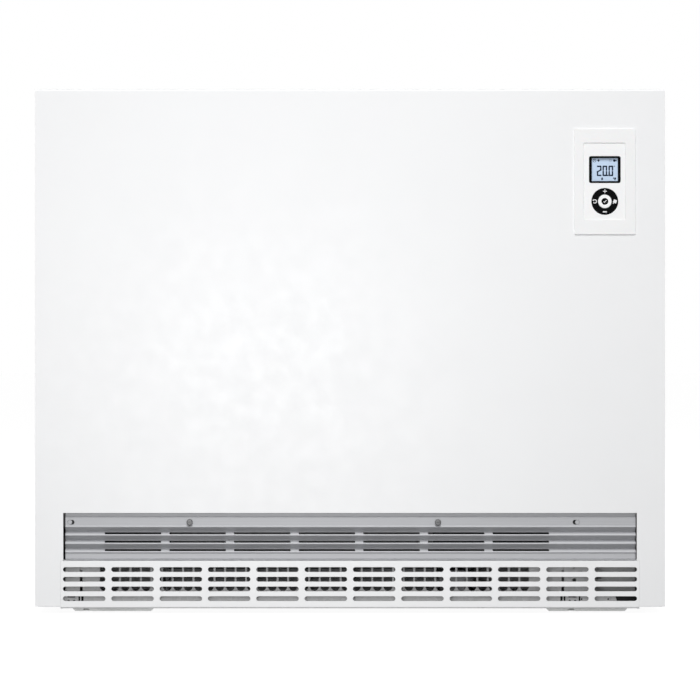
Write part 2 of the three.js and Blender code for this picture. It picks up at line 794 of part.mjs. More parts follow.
// Heights of the noses of the louvres, from the top one down.
function louvreNoses() {
  const first = fastenerHeight - noseDrop;
  const count = Math.floor((first - outletBottom - louvreDepth) / louvrePitch);
  return Array.from({ length: count + 1 }, (_, i) => first - i * louvrePitch);
}

// An aluminium extrusion: a band on top, a zigzag of louvres and a band below, with rows
// of slots in the slopes that look up.
function outletGrille() {
  const top = outletTop - outletEdgeGap;
  const bottom = outletBottom + outletEdgeGap;
  const noses = louvreNoses();
  const first = noses[0];
  const last = noses[noses.length - 1];
  const valley = outletFront + louvreDepth;
  const back = outletFront + 2 * louvreDepth;
  const blunt = noseFlat / 2;
  const lowerBand = Math.max(last - bandBevel - blunt, bottom + bandBevel + blunt);
  const profile = [
    [lipFront - seat, top],
    [bandFront + bandBevel, top],
    [bandFront + bandBevel, top - outletRebate],
    [bandFront, top - outletRebate - bandBevel / 2],
    [bandFront, first + bandBevel],
    [outletFront, first + blunt],
    [outletFront, first - blunt],
    ...noses.slice(1).flatMap((nose) => [
      [valley, nose + louvreFall],
      [outletFront, nose + blunt],
      [outletFront, nose - blunt],
    ]),
    [bandFront, lowerBand],
    [bandFront, bottom + bandBevel],
    [bandFront + bandBevel, bottom],
    [back, bottom],
  ];
  const band = prism('x', sheet(profile, outletWall), outletLeft, outletRight);
  const slotLength = (slottedRight - slottedLeft + outletSlotGap) / outletSlotCount - outletSlotGap;
  const slots = noses.slice(1).flatMap((nose) => Array.from({ length: outletSlotCount }, (_, i) => {
    const left = slottedLeft + i * (slotLength + outletSlotGap);
    const upper = nose + louvreFall - outletSlotDrop;
    return box(left, left + slotLength, bandFront, back, upper - outletSlotHeight, upper);
  }));
  const through = [bandFront - 1, bandBack + 1];
  const locating = [leftLocatingHole, rightLocatingHole].map((x) => prism('y', slot(
    x - locatingHoleLength / 2, x + locatingHoleLength / 2,
    fastenerHeight - locatingHoleHeight / 2, fastenerHeight + locatingHoleHeight / 2,
  ), ...through));
  const fastening = fastenerPlaces
    .map((x) => rod('y', x, fastenerHeight, fastenerShankRadius + runningGap, ...through, 12));
  return cut(band, join(...slots), ...locating, ...fastening);
}

// A domed head with a driving slot, a shank, and a bar that turns behind the lip.
function fastener() {
  const head = new THREE.LatheGeometry([
    [0, 0], [fastenerHeadRadius, 0], [fastenerHeadRadius, fastenerHeadHeight * 0.3],
    [fastenerHeadRadius * 0.75, fastenerHeadHeight * 0.8], [0, fastenerHeadHeight],
  ].map(([r, h]) => new THREE.Vector2(r, h)), 16);
  head.applyMatrix4(new THREE.Matrix4().makeBasis(unit('x'), unit('y').negate(), unit('z').negate()));
  const driver = box(-fastenerHeadRadius, fastenerHeadRadius,
    -fastenerHeadHeight - 1, -fastenerHeadHeight / 2, -driverSlot / 2, driverSlot / 2);
  const reach = lipBack + seat - fastenerSeat;
  const root = -fastenerHeadHeight * 0.2;
  const shank = rod('y', 0, 0, fastenerShankRadius, root, reach + fastenerBarSize / 2, 12);
  const lockingBar = box(-fastenerBarLength / 2, fastenerBarLength / 2, reach, reach + fastenerBarSize,
    -fastenerBarSize / 2, fastenerBarSize / 2);
  const collar = rod('y', 0, 0, fastenerCollarRadius, root, bandFront - seat - fastenerSeat, 12);
  return join(cut(solid(head), driver), collar, shank, lockingBar);
}

// ---- Intake grille ---------------------------------------------------------------------

// A folded white panel with rows of slots, pulled off forwards to clean the air way.
function intakeGrille() {
  const land = intakeSideLand;
  const pitch = (intakeRight - intakeLeft - 2 * land + intakeSlotGap) / intakeColumns;
  const tall = intakeTop - footHeight - intakeTopMargin - intakeBottomMargin;
  const rows = Math.floor(tall / intakeRowPitch) + 1;
  const holes = [];
  for (let row = 0; row < rows; row += 1) {
    const z = intakeTop - intakeTopMargin - row * intakeRowPitch;
    for (let column = 0; column < intakeColumns; column += 1) {
      const left = intakeLeft + land + column * pitch;
      const right = left + pitch - intakeSlotGap;
      holes.push(slot(left, right, z - intakeSlotHeight / 2, z + intakeSlotHeight / 2));
    }
  }
  const outline = rectangle(intakeLeft, intakeRight, footHeight, intakeTop);
  const back = trayFront - seat;
  const face = prism('y', outline, frontFace, frontFace + intakeSheet, holes);
  const lips = [
    [intakeLeft, intakeRight, footHeight, footHeight + intakeSheet, back],
    [intakeLeft, intakeRight, intakeTop - intakeSheet, intakeTop, back],
    [intakeLeft, intakeLeft + intakeSheet, footHeight, intakeTop, frontFace + openingReturn],
    [intakeRight - intakeSheet, intakeRight, footHeight, intakeTop, frontFace + openingReturn],
  ].map(([x0, x1, z0, z1, y1]) => box(x0, x1, frontFace + intakeSheet / 2, y1, z0, z1));
  return join(face, ...lips);
}

// ---- Inner case ------------------------------------------------------------------------

const elementLegs = [coreMiddle - elementBend, coreMiddle + elementBend];
const chargeProbe = { y: coreMiddle, z: elementHeight(brickLayers - 1) + 0.5 * brickHeight };
const limiterProbe = { y: coreMiddle, z: elementHeight(brickLayers - 2) + 0.5 * brickHeight };
const layers = Array.from({ length: brickLayers }, (_, layer) => layer);

// Holes for the elements' legs and the probes, through whatever lies right of the core.
function rightHandHoles(from, to) {
  const legs = layers.flatMap((layer) => elementLegs
    .map((y) => rod('x', y, elementHeight(layer), elementRadius + elementHoleGap, from, to, 8)));
  const probes = [chargeProbe, limiterProbe]
    .map(({ y, z }) => rod('x', y, z, probeRadius + runningGap, from, to, 8));
  return [...legs, ...probes];
}

const flapShaftHole = (from, to) => rod('x', hingeDepth, hingeHeight, shaftRadius + runningGap, from, to, 16);

// A folded wall with a narrow front flange, a rear flange, and a lug for the bimetal.
function innerWallLeft() {
  const path = [
    [leftWallOut + leftFlange, flangeFront],
    [leftWallOut, flangeFront],
    [leftWallOut, caseRear],
    [leftWallOut + rearFlange, caseRear],
  ];
  const outline = sheet(path.reverse(), innerSheet);
  const wall = prism('z', outline, wallsBottom, wallsTop);
  const lug = box(leftWallOut - bimetalWidth, leftWallOut + innerSheet / 2,
    hingeDepth + bimetalRadius + seat, hingeDepth + bimetalRadius + seat + lugThickness,
    hingeHeight - lugHeight / 2, hingeHeight + lugHeight / 2);
  return cut(join(wall, lug), flapShaftHole(leftWallOut - 1, leftWallIn + 1));
}

// The same wall on the right, with a wide front flange, the holes for the elements, and a
// shield that closes the foot of the electrical compartment.
function innerWallRight() {
  const path = [
    [rightWallOut - rightFlange, flangeFront],
    [rightWallOut, flangeFront],
    [rightWallOut, caseRear],
    [rightWallOut - rearFlange, caseRear],
  ];
  const wall = prism('z', sheet(path, innerSheet), wallsBottom, wallsTop);
  const shieldFront = flangeFront + shieldSetback;
  const shield = box(rightWallOut - innerSheet / 2, rightWallOut + shieldWidth,
    shieldFront, shieldFront + innerSheet, wallsBottom, ductUnder);
  const screw = rod('y', rightWallOut - flangeScrewInset, flangeScrewRise, flangeScrewRadius,
    flangeFront - 1, flangeBack + 1, 12);
  const gauge = rod('y', rightWallOut - flangeScrewInset, flangeScrewRise + gaugeHoleRise,
    gaugeHoleRadius, flangeFront - 1, flangeBack + 1, 10);
  const slotLeft = rightWallOut + shieldSlotInset;
  const opening = box(slotLeft, slotLeft + shieldSlotWidth, shieldFront - 1, shieldFront + innerSheet + 1,
    flangeScrewRise, flangeScrewRise + shieldSlotHeight);
  return cut(join(wall, shield), screw, gauge, opening, flapShaftHole(rightWallIn - 1, rightWallOut + 1),
    ...rightHandHoles(rightWallIn - 1, rightWallOut + 1));
}

// The plate over the front insulation.  Its foot is joggled forward into a lip that takes
// the fasteners, with two studs that locate the outlet grille.
function innerFrontPlate() {
  const path = [
    [facePlateFront, wallsTop],
    [facePlateFront, lipTop],
    [lipFront, lipTop],
    [lipFront, lipBottom],
  ];
  const plate = prism('x', sheet(path, innerSheet), leftWallOut, rightWallOut);
  const studRun = [bandFront + studSetback, lipFront + innerSheet / 2];
  const studs = [leftLocatingHole - studShift, rightLocatingHole + studShift]
    .map((x) => rod('y', x, fastenerHeight, studRadius, ...studRun, 12));
  const halfWidth = Math.max(fastenerBarSize / 2, fastenerShankRadius) + runningGap;
  const halfHeight = fastenerBarLength / 2 + runningGap;
  const keyholes = fastenerPlaces.map((x) => prism('y',
    slot(x - halfWidth, x + halfWidth, fastenerHeight - halfHeight, fastenerHeight + halfHeight, 3),
    lipFront - 1, lipBack + 1));
  return cut(join(plate, ...studs), ...keyholes);
}

// The plate over the top insulation, lipped over both walls.
function innerTopPlate() {
  const left = leftWallOut - seat - innerSheet;
  const right = rightWallOut + seat + innerSheet;
  const path = [
    [right, innerTopFace - innerTopLip],
    [right, innerTopFace],
    [left, innerTopFace],
    [left, innerTopFace - innerTopLip],
  ];
  return prism('y', sheet(path, innerSheet), facePlateFront, caseRear);
}

const channelRows = [coreMiddle - channelOffset, coreMiddle + channelOffset];

const airWays = (z0, z1) => channelRows.map((y) => box(coreLeft + channelLand, coreRight - channelLand,
  y - channelWidth / 2, y + channelWidth / 2, z0, z1));

// The shelf that carries the core, with an upturned lip at each wall.
function coreShelf() {
  const left = leftWallIn + seat;
  const right = rightWallIn - seat;
  const lipEdge = shelfTop + shelfLip;
  const path = [[left, lipEdge], [left, shelfBottom], [right, shelfBottom], [right, lipEdge]];
  const shelf = prism('y', sheet(path, innerSheet), flangeBack + seat, caseRear - innerSheet - seat);
  return cut(shelf, ...airWays(shelfBottom - 1, shelfTop + 1));
}

// ---- Fan drawer, fan and mixing flap ---------------------------------------------------

// The drawer that carries the fan: a floor, and a front with a row of upright slots and a
// tab at each top corner that bridges the gap to the wall's flange.
function fanDrawer() {
  const pitch = guardSlotWidth + guardRib;
  const count = Math.round((drawerRight - drawerLeft - guardLeftLand - guardRightLand + guardRib) / pitch);
  const slots = Array.from({ length: count }, (_, i) => {
    const left = drawerLeft + guardLeftLand + i * pitch;
    const outline = slot(left, left + guardSlotWidth, trayTop + guardSlotBottom, drawerTop - guardSlotTop, 3);
    return prism('y', outline, flangeFront - 1, flangeFront + traySheet + 1);
  });
  const rear = flangeFront + drawerDepth;
  const path = [[flangeFront, drawerTop], [flangeFront, drawerFloor], [rear, drawerFloor]];
  const tabs = [[drawerLeft - drawerGap + seat, drawerLeft + traySheet],
    [drawerRight - traySheet, drawerRight + drawerGap - seat]]
    .map(([from, to]) => box(from, to, flangeFront, flangeFront + traySheet,
      drawerTop - drawerTab, drawerTop));
  return cut(join(prism('x', sheet(path, traySheet), drawerLeft, drawerRight), ...tabs), join(...slots));
}

// The volute under the rotor, the tongue over it, and an end plate at each side.
function fanHousing() {
  const voluteRadius = rotorRadius + tongueClearance;
  const low = fanSpaceBottom + seat - rotorHeight;
  const ceiling = drawerTop - seat - rotorHeight;
  const volute = sheet([
    ...arc(0, 0, voluteRadius, 205, 255, 4),
    [0, low + traySheet],
    [scrollOutlet, low + traySheet],
  ].reverse(), traySheet);
  const tongue = sheet([
    [rotorRadius * 0.2, ceiling],
    [rotorRadius * 0.75, ceiling],
    ...arc(0, 0, voluteRadius + traySheet, 40, 12, 3),
    [scrollOutlet, throatRise],
  ].reverse(), traySheet);
  const run = [housingLeft + traySheet / 2, housingRight - traySheet / 2];
  const shift = (outline) => outline.map(([y, z]) => [y + rotorDepth, z + rotorHeight]);
  const front = -rotorRadius - scrollClearance;
  const endOutline = shift([
    [front, low], [scrollOutlet, low], [scrollOutlet, throatRise + traySheet],
    [rotorRadius, ceiling], [-rotorRadius * 0.5, ceiling], [front, rotorRadius * 0.4],
  ]);
  const leftHole = circle(rotorDepth, rotorHeight, bearingRadius + seat, 12);
  const rightHole = circle(rotorDepth, rotorHeight, shaftRadius + 1, 12);
  return join(
    prism('x', shift(volute), ...run),
    prism('x', shift(tongue), ...run),
    prism('x', endOutline, housingLeft, housingLeft + traySheet, [leftHole]),
    prism('x', endOutline, housingRight - traySheet, housingRight, [rightHole]),
  );
}

// A cross-flow rotor: curved blades between three discs, on a shaft.  Its axis is X, and
// its left disc starts at x = 0.
function fanRotor() {
  const bladeArc = arc(rotorRadius - bladeChord / 2, -bladeThickness, bladeChord / 2, 20, 160, 3);
  const bladeOutline = sheet(bladeArc, bladeThickness);
  const blades = Array.from({ length: bladeCount }, (_, i) => {
    const angle = (i / bladeCount) * 2 * Math.PI;
    const [cos, sin] = [Math.cos(angle), Math.sin(angle)];
    const outline = bladeOutline.map(([u, v]) => [u * cos - v * sin, u * sin + v * cos]);
    return prism('x', outline, discThickness / 2, rotorLength - discThickness / 2);
  });
  const discs = [0, (rotorLength - discThickness) / 2, rotorLength - discThickness]
    .map((x) => rod('x', 0, 0, rotorRadius, x, x + discThickness, 32));
  const shaft = rod('x', 0, 0, shaftRadius, -traySheet - bearingLength, rotorLength + motorLength * 0.6, 10);
  return join(...blades, ...discs, shaft);
}

// A bush for the shaft's left end, in the housing's end plate.
function fanBearing() {
  const bore = circle(0, 0, shaftRadius + runningGap, 12);
  return join(
    prism('x', circle(0, 0, bearingRadius, 12), -bearingLength, traySheet, [bore]),
    prism('x', circle(0, 0, bearingRadius + bearingCollar, 12), -bearingLength, -seat, [bore]),
  );
}

// A shaded-pole motor: a laminated stack with its coil, two end bells, and a foot.
function fanMotor() {
  const low = fanSpaceBottom + seat - rotorHeight;
  const left = (motorLength - motorStack) / 2;
  const right = left + motorStack;
  const stackOutline = rounded(-motorHalfWidth, motorHalfWidth, -motorDrop, motorRise, 3, 1);
  const stack = prism('x', stackOutline, left, right);
  const coilOutline = rounded(-coilHalfWidth, coilHalfWidth, -coilDrop, -coilDrop + coilHeight, 2, 1);
  const coil = prism('x', coilOutline, left - coilOverhang, right + coilOverhang);
  const bells = rod('x', 0, 0, bellRadius, bellSetback, motorLength - bellSetback, 16);
  const hub = rod('x', 0, 0, hubRadius, 0, motorLength, 12);
  const leg = box(left + 4, right - 4, -motorHalfWidth, motorHalfWidth, low, -motorDrop + 2);
  const bore = rod('x', 0, 0, shaftRadius + runningGap, -1, motorLength * 0.7, 16);
  return cut(join(stack, coil, bells, hub, leg), bore);
}

// The floor and the rear wall of the mixing chamber, with a bypass opening to the fan.
function ductPartition() {
  const path = [
    [chamberRear + traySheet, shelfBottom - seat],
    [chamberRear + traySheet, ductUnder],
    [flangeBack + seat, ductUnder],
  ];
  const duct = prism('x', sheet(path.reverse(), traySheet), leftWallIn + seat, rightWallIn - seat);
  const low = outletBottom + bypassRise;
  const through = [chamberRear - 1, chamberRear + traySheet + 1];
  return cut(duct, box(rotorLeft, rotorRight, ...through, low, low + bypassHeight));
}

// The flap under the core's outlet, with its shaft.  Its hinge is the local X axis.
function mixingFlap() {
  const left = leftWallIn + flapEndGap;
  const right = rightWallIn - flapEndGap;
  const path = [[0, -flapThickness / 2], [-flapLength, -flapThickness / 2], [-flapLength, flapLip]];
  const blade = prism('x', sheet(path.reverse(), flapThickness), left, right);
  const shaftRun = [leftWallOut - bimetalWidth - flapShaftEnd, rightWallOut + flapShaftEnd];
  const shaft = rod('x', 0, 0, shaftRadius, ...shaftRun, 12);
  return join(blade, shaft);
}

// The bimetal spring that turns the flap, wound round the shaft outside the left wall.
function flapBimetal() {
  const steps = Math.round(bimetalTurns * 10);
  const inner = shaftRadius + seat + bimetalThickness;
  const path = Array.from({ length: steps + 1 }, (_, i) => {
    const share = i / steps;
    const radius = inner + share * (bimetalRadius - inner);
    const angle = (share - 1) * bimetalTurns * 2 * Math.PI;
    return [radius * Math.cos(angle), radius * Math.sin(angle)];
  });
  return prism('x', sheet(path, bimetalThickness), 0, bimetalWidth - seat);
}

// ---- Insulation and core ---------------------------------------------------------------

const boardLeft = leftWallIn + seat;
const boardRight = rightWallIn - seat;
const boardFrontFace = flangeBack + seat;
const boardRearFace = caseRear - innerSheet - seat;

function baseBoard() {
  const inset = innerSheet + seat;
  const board = box(boardLeft + inset, boardRight - inset, boardFrontFace, boardRearFace,
    baseBoardBottom, baseBoardBottom + baseInsulation);
  return cut(board, ...airWays(baseBoardBottom - 1, baseBoardBottom + baseInsulation + 1));
}

const sideBoard = (x0, x1, y0, y1) => box(x0, x1, y0, y1, coreBottom, sideBoardsTop);
const frontBoard = () => sideBoard(boardLeft, boardRight, boardFrontFace, frontBoardBack);
const rearBoard = () => sideBoard(boardLeft, boardRight, rearBoardFront, boardRearFace);
const leftBoard = () => sideBoard(boardLeft, coreLeft - seat, coreFront, coreBack);
const rightBoard = () => cut(
  sideBoard(coreRight + seat, boardRight, coreFront, coreBack),
  ...rightHandHoles(coreRight - 1, boardRight + 1),
);
const topBoard = () => box(boardLeft, boardRight, boardFrontFace, boardRearFace, topBoardBottom, wallsTop);

const coreCover = () => cut(
  box(coreLeft, coreRight, coreFront, coreBack, coverBottom, coverTop),
  box(coreLeft + innerSheet, coreRight - innerSheet, coreFront + innerSheet, coreBack - innerSheet,
    coverBottom - 1, coverTop - innerSheet),
);

// A storage brick.  A trough under it holds the heating element, and upright channels at
// the front and the rear carry the air.  Its origin is the middle of its underside.
function brick() {
  const half = (coreBack - coreFront) / 2;
  const trough = elementTrough / 2;
  const section = [
    [-half, 0], [-trough - troughSlope, 0], [-trough, elementTroughDepth],
    [trough, elementTroughDepth], [trough + troughSlope, 0],
    [half, 0], [half, brickHeight], [-half, brickHeight],
  ];
  const body = prism('x', section, -brickLength / 2, brickLength / 2);
  const web = channelLand / 2;
  const channels = [-channelOffset, channelOffset].flatMap((y) => [-1, 1].map((side) => {
    const [x0, x1] = [side * web, side * (brickLength / 2 - channelLand)].sort((a, b) => a - b);
    const outline = rounded(x0, x1, y - channelWidth / 2, y + channelWidth / 2, channelCorner, 1);
    return prism('z', outline, -1, brickHeight + 1);
  }));
  return cut(body, ...channels);
}

// A hairpin of tubular element.  Its legs run along X through the right wall, where a
// collar seats each of them, and end in terminals.  Its origin is the core's left end.
function heatingElement() {
  const start = elementEndGap + elementBend;
  const end = rightWallOut - coreLeft + seat + collarLength / 2;
  const station = (x, y, dx, dy) => ({
    point: new THREE.Vector3(x, y, 0),
    tangent: new THREE.Vector3(dx, dy, 0),
  });
  const turn = arc(0, 0, 1, -90, -270, 7).map(([u, v]) => station(
    start + elementBend * u, elementBend * v, v, -u,
  ));
  const stations = [station(end, -elementBend, -1, 0), ...turn, station(end, elementBend, 1, 0)];
  const hairpin = bar(stations, elementRadius, 8);
  const collarLeft = rightWallOut - coreLeft + seat;
  const ends = [-elementBend, elementBend].flatMap((y) => [
    rod('x', y, 0, collarRadius, collarLeft, collarLeft + collarLength, 8),
    rod('x', y, 0, terminalRadius, collarLeft, collarLeft + collarLength + terminalLength, 8),
  ]);
  return join(hairpin, ...ends);
}

// ---- Electrical pieces -----------------------------------------------------------------

const wallMount = rightWallOut + seat;

function terminalBlock() {
  const low = trayTop + terminalBlockRise;
  const front = coreMiddle - terminalBlockLength / 2;
  const pole = terminalBlockLength / terminalPoles;
  const base = box(wallMount, wallMount + terminalBlockDepth * 0.4,
    front, front + terminalBlockLength, low, low + terminalBlockHeight);
  const poles = Array.from({ length: terminalPoles }, (_, i) => box(
    wallMount + terminalBlockDepth * 0.2, wallMount + terminalBlockDepth,
    front + (i + 0.08) * pole, front + (i + 0.92) * pole,
    low + terminalBlockHeight * 0.15, low + terminalBlockHeight * 0.85,
  ));
  return join(base, ...poles);
}

// The charging controller: a board on standoffs, with three relays, a heat sink and a
// transformer.  Their places are shares of the board's length and height, and the last
// value is how far each stands proud.
function controlBoard() {
  const low = elementHeight(0) + boardMargin;
  const high = elementHeight(1) - boardMargin;
  const front = coreFront + boardInset;
  const boardDepth = coreDepth - 2 * boardInset;
  const face = wallMount + boardStandoff;
  const back = face + boardThickness;
  const tall = high - low;
  const plate = box(face, back, front, front + boardDepth, low, high);
  const posts = [0.08, 0.92].flatMap((u) => [0.1, 0.9].map((v) => rod('x',
    front + u * boardDepth, low + v * tall, boardPostRadius, wallMount, face + boardThickness / 2,
    8)));
  const parts = [
    [0.1, 0.26, 0.15, 0.4, relayProud], [0.32, 0.48, 0.15, 0.4, relayProud],
    [0.54, 0.7, 0.15, 0.4, relayProud], [0.12, 0.5, 0.6, 0.85, transformerProud],
    [0.6, 0.85, 0.58, 0.86, heatSinkProud],
  ].map(([u0, u1, v0, v1, proud]) => box(back - boardThickness / 2, back + proud,
    front + u0 * boardDepth, front + u1 * boardDepth, low + v0 * tall, low + v1 * tall));
  return join(plate, ...posts, ...parts);
}

// A rod that reaches through the wall and the insulation to the core.
const probe = ({ y, z }) => rod('x', y, z, probeRadius, coreRight + seat, wallMount + probeHead / 2, 8);

const chargeSensor = () => join(
  probe(chargeProbe),
  rod('x', chargeProbe.y, chargeProbe.z, probeHead, wallMount, wallMount + probeHead, 6),
);

function safetyLimiter() {
  const { y, z } = limiterProbe;
  const body = box(wallMount, wallMount + limiterDepth, y - limiterWidth / 2, y + limiterWidth / 2,
    z - limiterHeight / 2, z + limiterHeight / 2);
  const inside = wallMount + limiterDepth / 2;
  const face = wallMount + limiterDepth;
  const reset = rod('x', y, z + limiterHeight / 4, resetRadius, inside, face + resetProud, 12);
  const tabHeight = z - limiterHeight / 4;
  const tabs = [-0.5, 0.5].map((side) => y + side * tabSpacing).map((middle) => box(
    inside, face + tabProud,
    middle - tabWidth / 2, middle + tabWidth / 2,
    tabHeight - tabThickness / 2, tabHeight + tabThickness / 2,
  ));
  return join(body, probe(limiterProbe), reset, ...tabs);
}

// A rubber bush in the rear panel, where the supply cable would enter.
function cableGrommet() {
  const near = casingSheet / 2 + seat;
  const far = near + grommetFlangeThickness;
  const profile = [
    [grommetBore, -far], [grommetFlange, -far], [grommetFlange, -near], [grommetNeck, -near],
    [grommetNeck, near], [grommetFlange, near], [grommetFlange - grommetChamfer, far],
    [grommetBore, far], [grommetBore, -far],
  ].map(([r, h]) => new THREE.Vector2(r, h));
  return solid(new THREE.LatheGeometry(profile, 16));
}

// ---- Control unit ----------------------------------------------------------------------

const inset = ([u0, u1, v0, v1], by) => [u0 + by, u1 - by, v0 + by, v1 - by];
const windowEdges = [fasciaLeft, fasciaRight, fasciaBottom, fasciaTop];
const bezelEdges = [bezelLeft, bezelRight, bezelLower, bezelUpper];
const displayOpening = [bezelLeft + bezelBorderSide, bezelRight - bezelBorderSide,
  bezelLower + bezelBorderTop, bezelUpper - bezelBorderTop];

// A plate on the casing with a window for the fascia, and a box behind it.
function controlSurround() {
  const plateBack = surroundFront + surroundPlate;
  const plate = prism('y', rectangle(surroundLeft, surroundRight, surroundBottom, surroundTop),
    surroundFront, plateBack, [rectangle(...windowEdges)]);
  const outer = inset(controlHole, seat);
  const boxBack = facePlateFront - seat;
  const walls = prism('y', rectangle(...outer), plateBack - surroundPlate / 2, boxBack,
    [rectangle(...inset(outer, surroundWall))]);
  const shelfDepth = boardFront + boardThickness + seat;
  const inner = inset(outer, surroundWall / 2);
  const ledges = [
    [inner[0], fasciaLeft - fasciaLap - seat], [fasciaRight + fasciaLap + seat, inner[1]],
  ].map(([x0, x1]) => box(
    x0, x1, plateBack - surroundPlate / 2, shelfDepth, padZ - ledgeHeight / 2, padZ + ledgeHeight / 2,
  ));
  return join(plate, walls, ...ledges);
}

// The recessed face, lapped behind the surround's window.
function controlFascia() {
  const padBack = fasciaFlangeFront + fasciaThickness / 2;
  const pad = prism('y', rectangle(...inset(windowEdges, seat)), fasciaFront, padBack);
  const flange = prism('y', rectangle(...inset(windowEdges, -fasciaLap)), fasciaFlangeFront, fasciaBack);
  const through = [fasciaFront - 1, fasciaBack + 1];
  return cut(
    join(pad, flange),
    prism('y', rounded(...inset(bezelEdges, -seat), bezelCorner, 3), ...through),
    rod('y', padX, padZ, ringOuter + runningGap, ...through, 40),
  );
}

// The black frame round the display.
function lcdBezel() {
  const outline = rounded(...bezelEdges, bezelCorner, 3);
  return prism('y', outline, bezelFront, bezelFront + bezelThickness, [rectangle(...displayOpening)]);
}

function lcdModule() {
  const outline = rectangle(...inset(displayOpening, -displayBorder));
  return prism('y', outline, displayFront, displayFront + displayThickness);
}

const ringMiddle = (ringOuter + ringInner) / 2;
const keyCentres = [[0, 0], ...[0, 90, 180, 270].map((turn) => {
  const angle = THREE.MathUtils.degToRad(turn);
  return [ringMiddle * Math.cos(angle), ringMiddle * Math.sin(angle)];
})];

// The board behind the fascia, with a dome switch behind each key.  It lies on the
// surround's ledges.
function keypadBoard() {
  const outline = rectangle(fasciaLeft - fasciaLap, fasciaRight + fasciaLap, fasciaBottom, fasciaTop);
  const plate = prism('y', outline, boardFront, boardFront + boardThickness);
  const domes = keyCentres.map(([x, z]) => rod('y', padX + x, padZ + z, domeRadius,
    keyBack + domeClearance, boardFront + boardThickness / 2, 12));
  return join(plate, ...domes);
}

// A quarter of the ring, centred on the given direction, with a foot behind the fascia.
function ringKey(turn) {
  const half = 45 - THREE.MathUtils.radToDeg(runningGap / ringOuter);
  const sector = (inner, outer) => [
    ...arc(0, 0, outer, turn - half, turn + half, 6),
    ...arc(0, 0, inner, turn + half, turn - half, 6),
  ];
  return join(
    prism('y', sector(ringInner + runningGap, ringOuter), keyFront, keyBack),
    prism('y', sector(ringInner + keyFootSetback, ringOuter + keyLap), keyFootFront, keyBack),
  );
}

// The round key in the middle of the ring.
function okKey() {
  return prism('y', circle(0, 0, okRadius, 32), keyFront, keyBack);
}

// ---- The whole -------------------------------------------------------------------------

const leftFootX = -sideFace + footInset + footWidth / 2;
const footY = frontFace + footSetback;

const casing = new THREE.Group();
casing.add(
  piece('front_panel', frontPanel(), 'casing'),
  piece('side_panel_left', sidePanel(-1), 'casing'),
  piece('side_panel_right', sidePanel(1), 'casing'),
  piece('top_cover', topCover(), 'casing'),
  piece('rear_panel', rearPanel(), 'zinc'),
  piece('base_tray', baseTray(), 'zinc'),
  place(piece('foot_left', foot(-footWidth / 2 + footScrewInset), 'zinc'), leftFootX, footY, 0),
  place(piece('foot_right', foot(-footWidth / 2 + footScrewInsetRight), 'zinc'), -leftFootX, footY, 0),
  piece('wall_bracket', wallBracket(), 'zinc'),
);

const grilles = new THREE.Group();
grilles.add(
  piece('outlet_grille', outletGrille(), 'aluminium'),
  piece('intake_grille', intakeGrille(), 'casing'),
  ...['fastener_left', 'fastener_right'].map((name, i) => place(
    piece(name, fastener(), 'darkSteel'), fastenerPlaces[i], fastenerSeat, fastenerHeight,
  )),
);

const innerCase = new THREE.Group();
innerCase.add(
  piece('inner_wall_left', innerWallLeft(), 'zinc'),
  piece('inner_wall_right', innerWallRight(), 'zinc'),
  piece('inner_front_plate', innerFrontPlate(), 'zinc'),
  piece('inner_top_plate', innerTopPlate(), 'zinc'),
  piece('core_shelf', coreShelf(), 'zinc'),
);

const air = new THREE.Group();
air.add(
  piece('fan_drawer', fanDrawer(), 'zinc'),
  piece('fan_housing', fanHousing(), 'darkSteel'),
  place(piece('fan_rotor', fanRotor(), 'darkSteel'), rotorLeft, rotorDepth, rotorHeight),
  place(piece('fan_bearing', fanBearing(), 'rubber'), housingLeft, rotorDepth, rotorHeight),
  place(piece('fan_motor', fanMotor(), 'zinc'), motorLeft, rotorDepth, rotorHeight),
  piece('duct_partition', ductPartition(), 'zinc'),
  place(piece('mixing_flap', mixingFlap(), 'zinc'), 0, hingeDepth, hingeHeight),
  place(piece('flap_bimetal', flapBimetal(), 'bimetal'), leftWallOut - bimetalWidth, hingeDepth, hingeHeight),
);

const core = new THREE.Group();
core.add(
  piece('base_insulation', baseBoard(), 'insulation'),
  piece('front_insulation', frontBoard(), 'insulation'),
  piece('rear_insulation', rearBoard(), 'insulation'),
  piece('left_insulation', leftBoard(), 'insulation'),
  piece('right_insulation', rightBoard(), 'insulation'),
  piece('top_insulation', topBoard(), 'insulation'),
  piece('core_cover', coreCover(), 'zinc'),
);
for (const layer of layers) {
  for (let column = 0; column < brickColumns; column += 1) {
    const x = coreLeft + brickLength / 2 + column * (brickLength + seat);
    const name = `brick_${layer + 1}_${column + 1}`;
    core.add(place(piece(name, brick(), 'brick'), x, coreMiddle, layerBottom(layer)));
  }
  const name = `heating_element_${layer + 1}`;
  core.add(place(piece(name, heatingElement(), 'element'), coreLeft, coreMiddle, elementHeight(layer)));
}

const electrics = new THREE.Group();
const grommet = place(piece('cable_grommet', cableGrommet(), 'rubber'),
  sideFace - grommetInset, (rearPanelFront + rearPanelBack) / 2, grommetHeight);
electrics.add(
  piece('terminal_block', terminalBlock(), 'plastic'),
  piece('control_board', controlBoard(), 'board'),
  piece('charge_sensor', chargeSensor(), 'zinc'),
  piece('safety_limiter', safetyLimiter(), 'black'),
  grommet,
);

const control = new THREE.Group();
control.add(
  piece('control_surround', controlSurround(), 'plastic'),
  piece('control_fascia', controlFascia(), 'plastic'),
  piece('lcd_bezel', lcdBezel(), 'black'),
  piece('lcd_module', lcdModule(), 'display'),
  piece('keypad_board', keypadBoard(), 'board'),
  place(piece('ok_key', okKey(), 'plastic'), padX, 0, padZ),
  ...[['menu_key', 0], ['plus_key', 90], ['back_key', 180], ['minus_key', 270]]
    .map(([name, turn]) => place(piece(name, ringKey(turn), 'black'), padX, 0, padZ)),
);

const heater = new THREE.Group();
heater.name = 'storage_heater';
heater.add(casing, grilles, innerCase, air, core, electrics, control);

export default heater;
